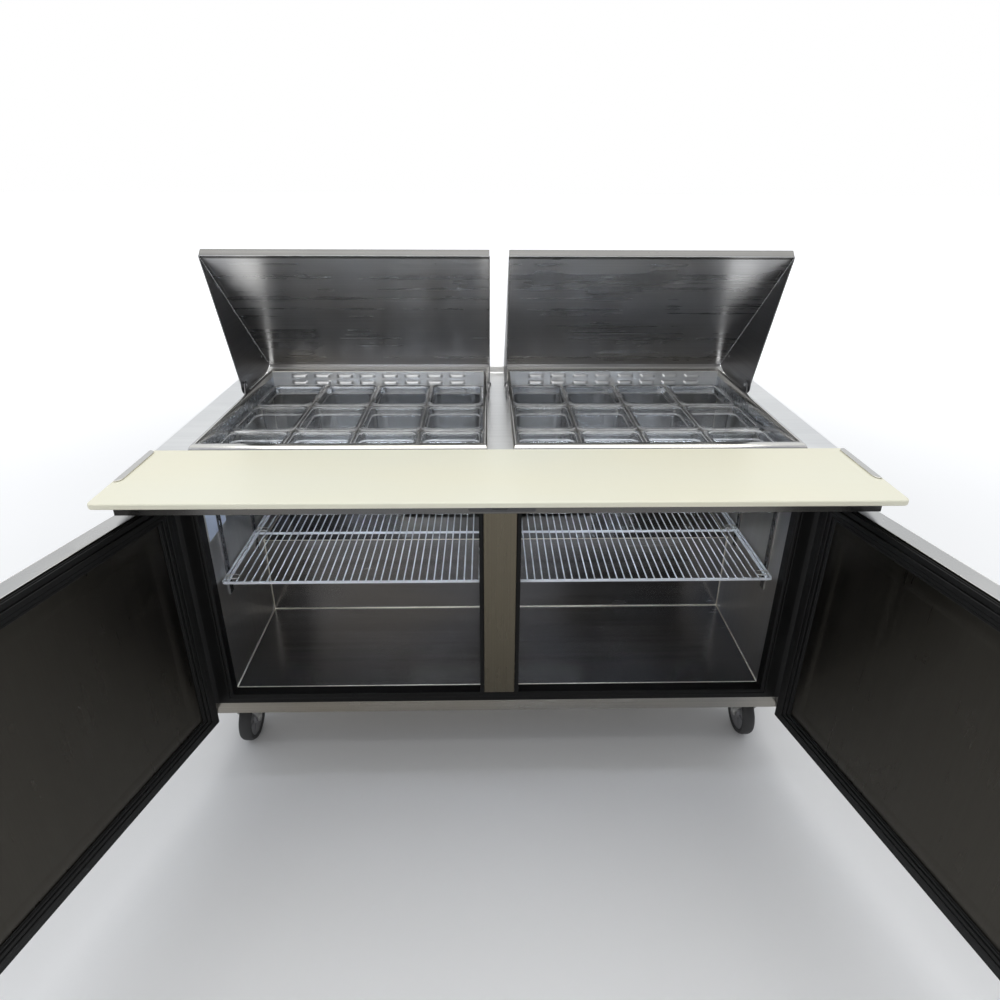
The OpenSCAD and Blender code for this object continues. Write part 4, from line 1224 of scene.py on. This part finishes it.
def make_casters():
    """The four swivel casters."""
    for rank in ("front", "rear"):
        for name, side in SIDES:
            key = f"{rank}_{name}"
            swivel = pin_of(f"swivel_{key}")
            axle = pin_of(f"roll_{key}")
            wheel_low, wheel_high = cad(f"wheel_{key}")
            r = (wheel_high.z - wheel_low.z) / 2
            half = 16.0

            wheel = Shape()
            wheel.mark = 0
            wheel.collar([(r - 13, -half + 1), (r - 4, -half), (r - 1.4, -half + 4), (r, -half + 9),
                          (r, half - 9), (r - 1.4, half - 4),
                          (r - 4, half), (r - 13, half - 1)], axle, "x", 56)
            wheel.mark = 1
            wheel.collar([(20, -half + 7), (r - 14, -half + 5), (r - 12, -half + 1), (r - 12, half - 1),
                          (r - 14, half - 5), (20, half - 7)],
                         axle, "x", 40)
            wheel.collar([(6.2, -half - 1.9), (14, -half - 1.9), (16, -half), (20.5, -half + 6),
                          (20.5, half - 6), (16, half),
                          (14, half + 1.9), (6.2, half + 1.9)], axle, "x", 32)
            for k in range(6):
                a = math.radians(60 * k)
                c, s = math.cos(a), math.sin(a)
                wide = 2.2
                path = [(20, -wide), (r - 13, -wide), (r - 13, wide), (20, wide)]
                rings = [[(axle.x + x, axle.y + u * c - v * s, axle.z + u * s + v * c) for u, v in path]
                         for x in (-half + 4, half - 4)]
                wheel.loft(rings)
            piece(f"caster_wheel_{key}", wheel, f"wheel_{key}", ("tread", "hub"),
                  f"wheel_{key}", crease=40)

            fork = Shape()
            fork_high = cad(f"fork_{key}")[1]
            crown = cad("caster_plates")[0].z - 0.3
            leg_in, leg_out = half + 3, half + 6
            for sign in (-1, 1):
                x0, x1 = sorted((sign * leg_in, sign * leg_out))
                outline = [(swivel.y - 28, crown - 3), (swivel.y + 28, crown - 3),
                           (axle.y + 15, axle.z + 6)]
                outline += arc(axle.y, axle.z, 14, 20, -200, 12)
                fork.prism(outline, "x", swivel.x + x0, swivel.x + x1)
                fork.lathe([(0, 0), (10, 0), (10, sign * 1.4), (7.5, sign * 2.0), (7.5, sign * 2.9),
                            (0, sign * 2.95)],
                           (swivel.x + sign * leg_out, axle.y, axle.z), "x", 6)
            fork.box((swivel.x - leg_out, swivel.y - 28, crown - 6),
                     (swivel.x + leg_out, swivel.y + 28, crown - 3))
            fork.lathe([(0, crown - 6), (30, crown - 6), (32, crown - 4.5), (32, crown - 2),
                        (29, crown - 0.4), (0, crown - 0.3)],
                       (swivel.x, swivel.y, 0), "z", 36)
            fork.lathe([(0, crown - 1), (7.9, crown - 1), (7.9, fork_high.z - 1), (6.9, fork_high.z),
                        (0, fork_high.z)],
                       (swivel.x, swivel.y, 0), "z", 24)
            fork.tube([(swivel.x - leg_out, axle.y, axle.z), (swivel.x + leg_out, axle.y, axle.z)], 5.9, 20,
                      round_ends=False)
            if rank == "front":
                fork.mark = 1
                for sign in (-1, 1):
                    x0, x1 = sorted((sign * leg_in, sign * leg_out))
                    fork.box((swivel.x + x0, swivel.y + 20, crown - 26),
                             (swivel.x + x1, swivel.y + 112, crown - 18))
                pedal = [(swivel.y + 104, crown - 22), (swivel.y + 104, crown - 18),
                         (swivel.y + 122, crown - 19), (swivel.y + 128, crown - 24),
                         (swivel.y + 128, crown - 30), (swivel.y + 125, crown - 30),
                         (swivel.y + 124, crown - 26), (swivel.y + 118, crown - 23)]
                fork.prism(pedal, "x", swivel.x - leg_out, swivel.x + leg_out)
            piece(f"caster_fork_{key}", fork, f"fork_{key}", ("zinc", "chrome"), f"fork_{key}",
                  bevel=0.8)

    low, high = cad("caster_plates")
    plates = Shape()
    for rank in ("front", "rear"):
        for name, side in SIDES:
            swivel = pin_of(f"swivel_{rank}_{name}")
            hole = rounded(16.2, 16.2, 8.09, 5)
            rim = rounded(100, 100, 6, 5)
            rings = [[(swivel.x + x, swivel.y + y, z) for x, y in outline]
                     for outline, z in ((hole, low.z), (rim, low.z), (rim, high.z - 0.1),
                                        (hole, high.z - 0.1))]
            plates.loft(rings, closed=True)
            for dx in (-38, 38):
                for dy in (-38, 38):
                    plates.lathe([(0, 0), (7, 0), (7, -3.4), (6.2, -4.2), (0, -4.2)],
                                 (swivel.x + dx, swivel.y + dy, low.z), "z", 6)
    piece("caster_top_plates", plates, "table", "zinc", "caster_plates", bevel=0.5)


# ------------------------------------------------------------------ sheets that keep their CAD shape

def dress_sheets():
    for node, material in (
            ("back_panel", "outer"), ("base_pan", "base"), ("insulation", "foam"),
            ("liner_floor", "inner"), ("liner_walls", "wall"), ("liner_rear", "inner"),
            ("liner_ceiling", "inner"),
            ("shelf_standards", "inner"), ("evaporator_coil", "fins"), ("evaporator_case", "zinc"),
            ("compressor", "black_paint"),
            ("condenser_coil", "black_paint"), ("refrigerant_lines", "copper"), ("machine_tray", "zinc"),
            ("control_box", "grey_plastic")):
        dress(node, material)
    dress("side_panels", "outer", "gasket")


# ------------------------------------------------------------------ world, floor and lights

def make_world():
    """Pale to the camera. What the steel mirrors is bright overhead and behind, and dim towards the front."""
    world = bpy.data.worlds.new("studio")
    bpy.context.scene.world = world
    world.use_nodes = True
    nodes, links = world.node_tree.nodes, world.node_tree.links
    nodes.clear()
    output = nodes.new("ShaderNodeOutputWorld")
    path = nodes.new("ShaderNodeLightPath")
    mixed = nodes.new("ShaderNodeMixShader")
    seen = nodes.new("ShaderNodeBackground")
    seen.inputs[0].default_value = (1.0, 1.0, 1.0, 1.0)
    seen.inputs[1].default_value = 1.0
    lit = nodes.new("ShaderNodeBackground")
    lit.inputs[1].default_value = 1.0
    coordinates = nodes.new("ShaderNodeTexCoord")
    split = nodes.new("ShaderNodeSeparateXYZ")
    ramp = nodes.new("ShaderNodeValToRGB")
    lift = nodes.new("ShaderNodeMapRange")
    for name, number in (("From Min", -1.0), ("From Max", 1.0)):
        lift.inputs[name].default_value = number
    links.new(coordinates.outputs["Generated"], split.inputs[0])
    raised = nodes.new("ShaderNodeMath")
    raised.operation = "MULTIPLY_ADD"
    raised.inputs[1].default_value = 0.6
    behind = nodes.new("ShaderNodeMath")
    behind.operation = "MULTIPLY"
    behind.inputs[1].default_value = 0.4
    links.new(split.outputs["Z"], raised.inputs[0])
    links.new(split.outputs["Y"], behind.inputs[0])
    links.new(behind.outputs[0], raised.inputs[2])
    links.new(raised.outputs[0], lift.inputs["Value"])
    links.new(lift.outputs["Result"], ramp.inputs[0])
    stops = ((0.0, (0.24, 0.23, 0.22)), (0.5, (0.22, 0.22, 0.22)), (0.6, (0.28, 0.30, 0.34)),
             (0.72, (0.52, 0.55, 0.60)), (0.80, (0.86, 0.88, 0.90)), (1.0, (1.0, 1.0, 1.0)))
    colour_stops(ramp, stops)
    links.new(ramp.outputs["Color"], lit.inputs[0])
    links.new(path.outputs["Is Camera Ray"], mixed.inputs[0])
    links.new(lit.outputs[0], mixed.inputs[1])
    links.new(seen.outputs[0], mixed.inputs[2])
    links.new(mixed.outputs[0], output.inputs[0])


def make_floor():
    """A pale floor under the casters; from 1.2 m to 4.5 m out from the middle it glows more and more, painted
    light that fades it into the white backdrop.
    """
    mesh = bpy.data.meshes.new("floor")
    reach = 40.0
    mesh.from_pydata([(-reach, -reach, 0), (reach, -reach, 0), (reach, reach, 0), (-reach, reach, 0)], [],
                     [(0, 1, 2, 3)])
    floor = bpy.data.objects.new("floor", mesh)
    bpy.context.scene.collection.objects.link(floor)
    g = Graph("floor_pale")
    away = g.tree.nodes.new("ShaderNodeVectorMath")
    away.operation = "LENGTH"
    g.link(g.place, away.inputs[0])
    # painted light: the floor's glow grows with distance from the middle of the table
    far = g.spread(away.outputs["Value"], 0.0, 0.62, 1.2, 4.5)
    g.set(Base_Color=g.mix(g.spread(g.noise(0.7, 2.0), 0.0, 1.0), (0.84, 0.84, 0.84), (0.88, 0.88, 0.88)),
          Roughness=0.8, Emission_Color=(1.0, 1.0, 1.0), Emission_Strength=far)
    mesh.materials.append(g.material)


def area_light(name, place, aim, size, power, colour=(1.0, 1.0, 1.0)):
    """A rectangular soft light that faces a point."""
    data = bpy.data.lights.new(name, "AREA")
    data.shape = "RECTANGLE"
    data.size, data.size_y = size
    data.energy = power
    data.color = colour
    light = bpy.data.objects.new(name, data)
    light.location = place
    light.rotation_mode = "QUATERNION"
    light.rotation_quaternion = (Vector(aim) - Vector(place)).to_track_quat("-Z", "Y")
    bpy.context.scene.collection.objects.link(light)


def make_lights():
    """Soft studio lights, and a weak one inside each half of the cabinet."""
    area_light("overhead", (0.0, -0.2, 3.2), (0.0, 0.0, 0.9), (3.6, 2.4), 46.0, (1.0, 0.99, 0.97))
    area_light("front_fill", (-0.6, -3.0, 2.0), (0.0, 0.0, 0.6), (2.4, 1.6), 16.0, (1.0, 0.99, 0.98))
    area_light("left_window", (-2.6, -0.6, 1.9), (0.0, 0.0, 0.8), (1.2, 1.6), 5.0, (0.93, 0.96, 1.0))
    for name, side in SIDES:
        area_light(f"cabinet_{name}", (side * 0.34, -0.10, 0.835), (side * 0.34, 0.10, 0.3), (0.5, 0.06),
                   1.25, (0.84, 0.91, 1.0))
    area_light("right_window", (2.6, -0.4, 1.9), (0.0, 0.0, 0.8), (1.2, 1.6), 4.0, (1.0, 0.97, 0.92))


# ------------------------------------------------------------------ assembly

make_camera()
MATERIALS.update(make_materials())
make_cutting_board()
make_board_brackets()
make_worktop()
make_front_rail()
make_well_frames()
make_well_liners()
make_pan_dividers()
make_pans()
make_hoods()
make_hood_brackets()
make_doors()
make_door_hinges()
make_breaker()
make_liner_seams()
make_blank_sheet()
make_standards()
make_shelves()
make_fan("evaporator_blades", "evaporator_fan", "y", Vector((0, 288, 590)), 67, 18, 5, "grey_plastic")
make_fan("condenser_blades", "condenser_fan", "x", Vector((145, 280, 278.5)), 81, 20, 5)
make_evaporator()
make_rear()
make_casters()
dress_sheets()
make_world()
make_floor()
make_lights()
bpy.context.scene.view_settings.view_transform = "Standard"
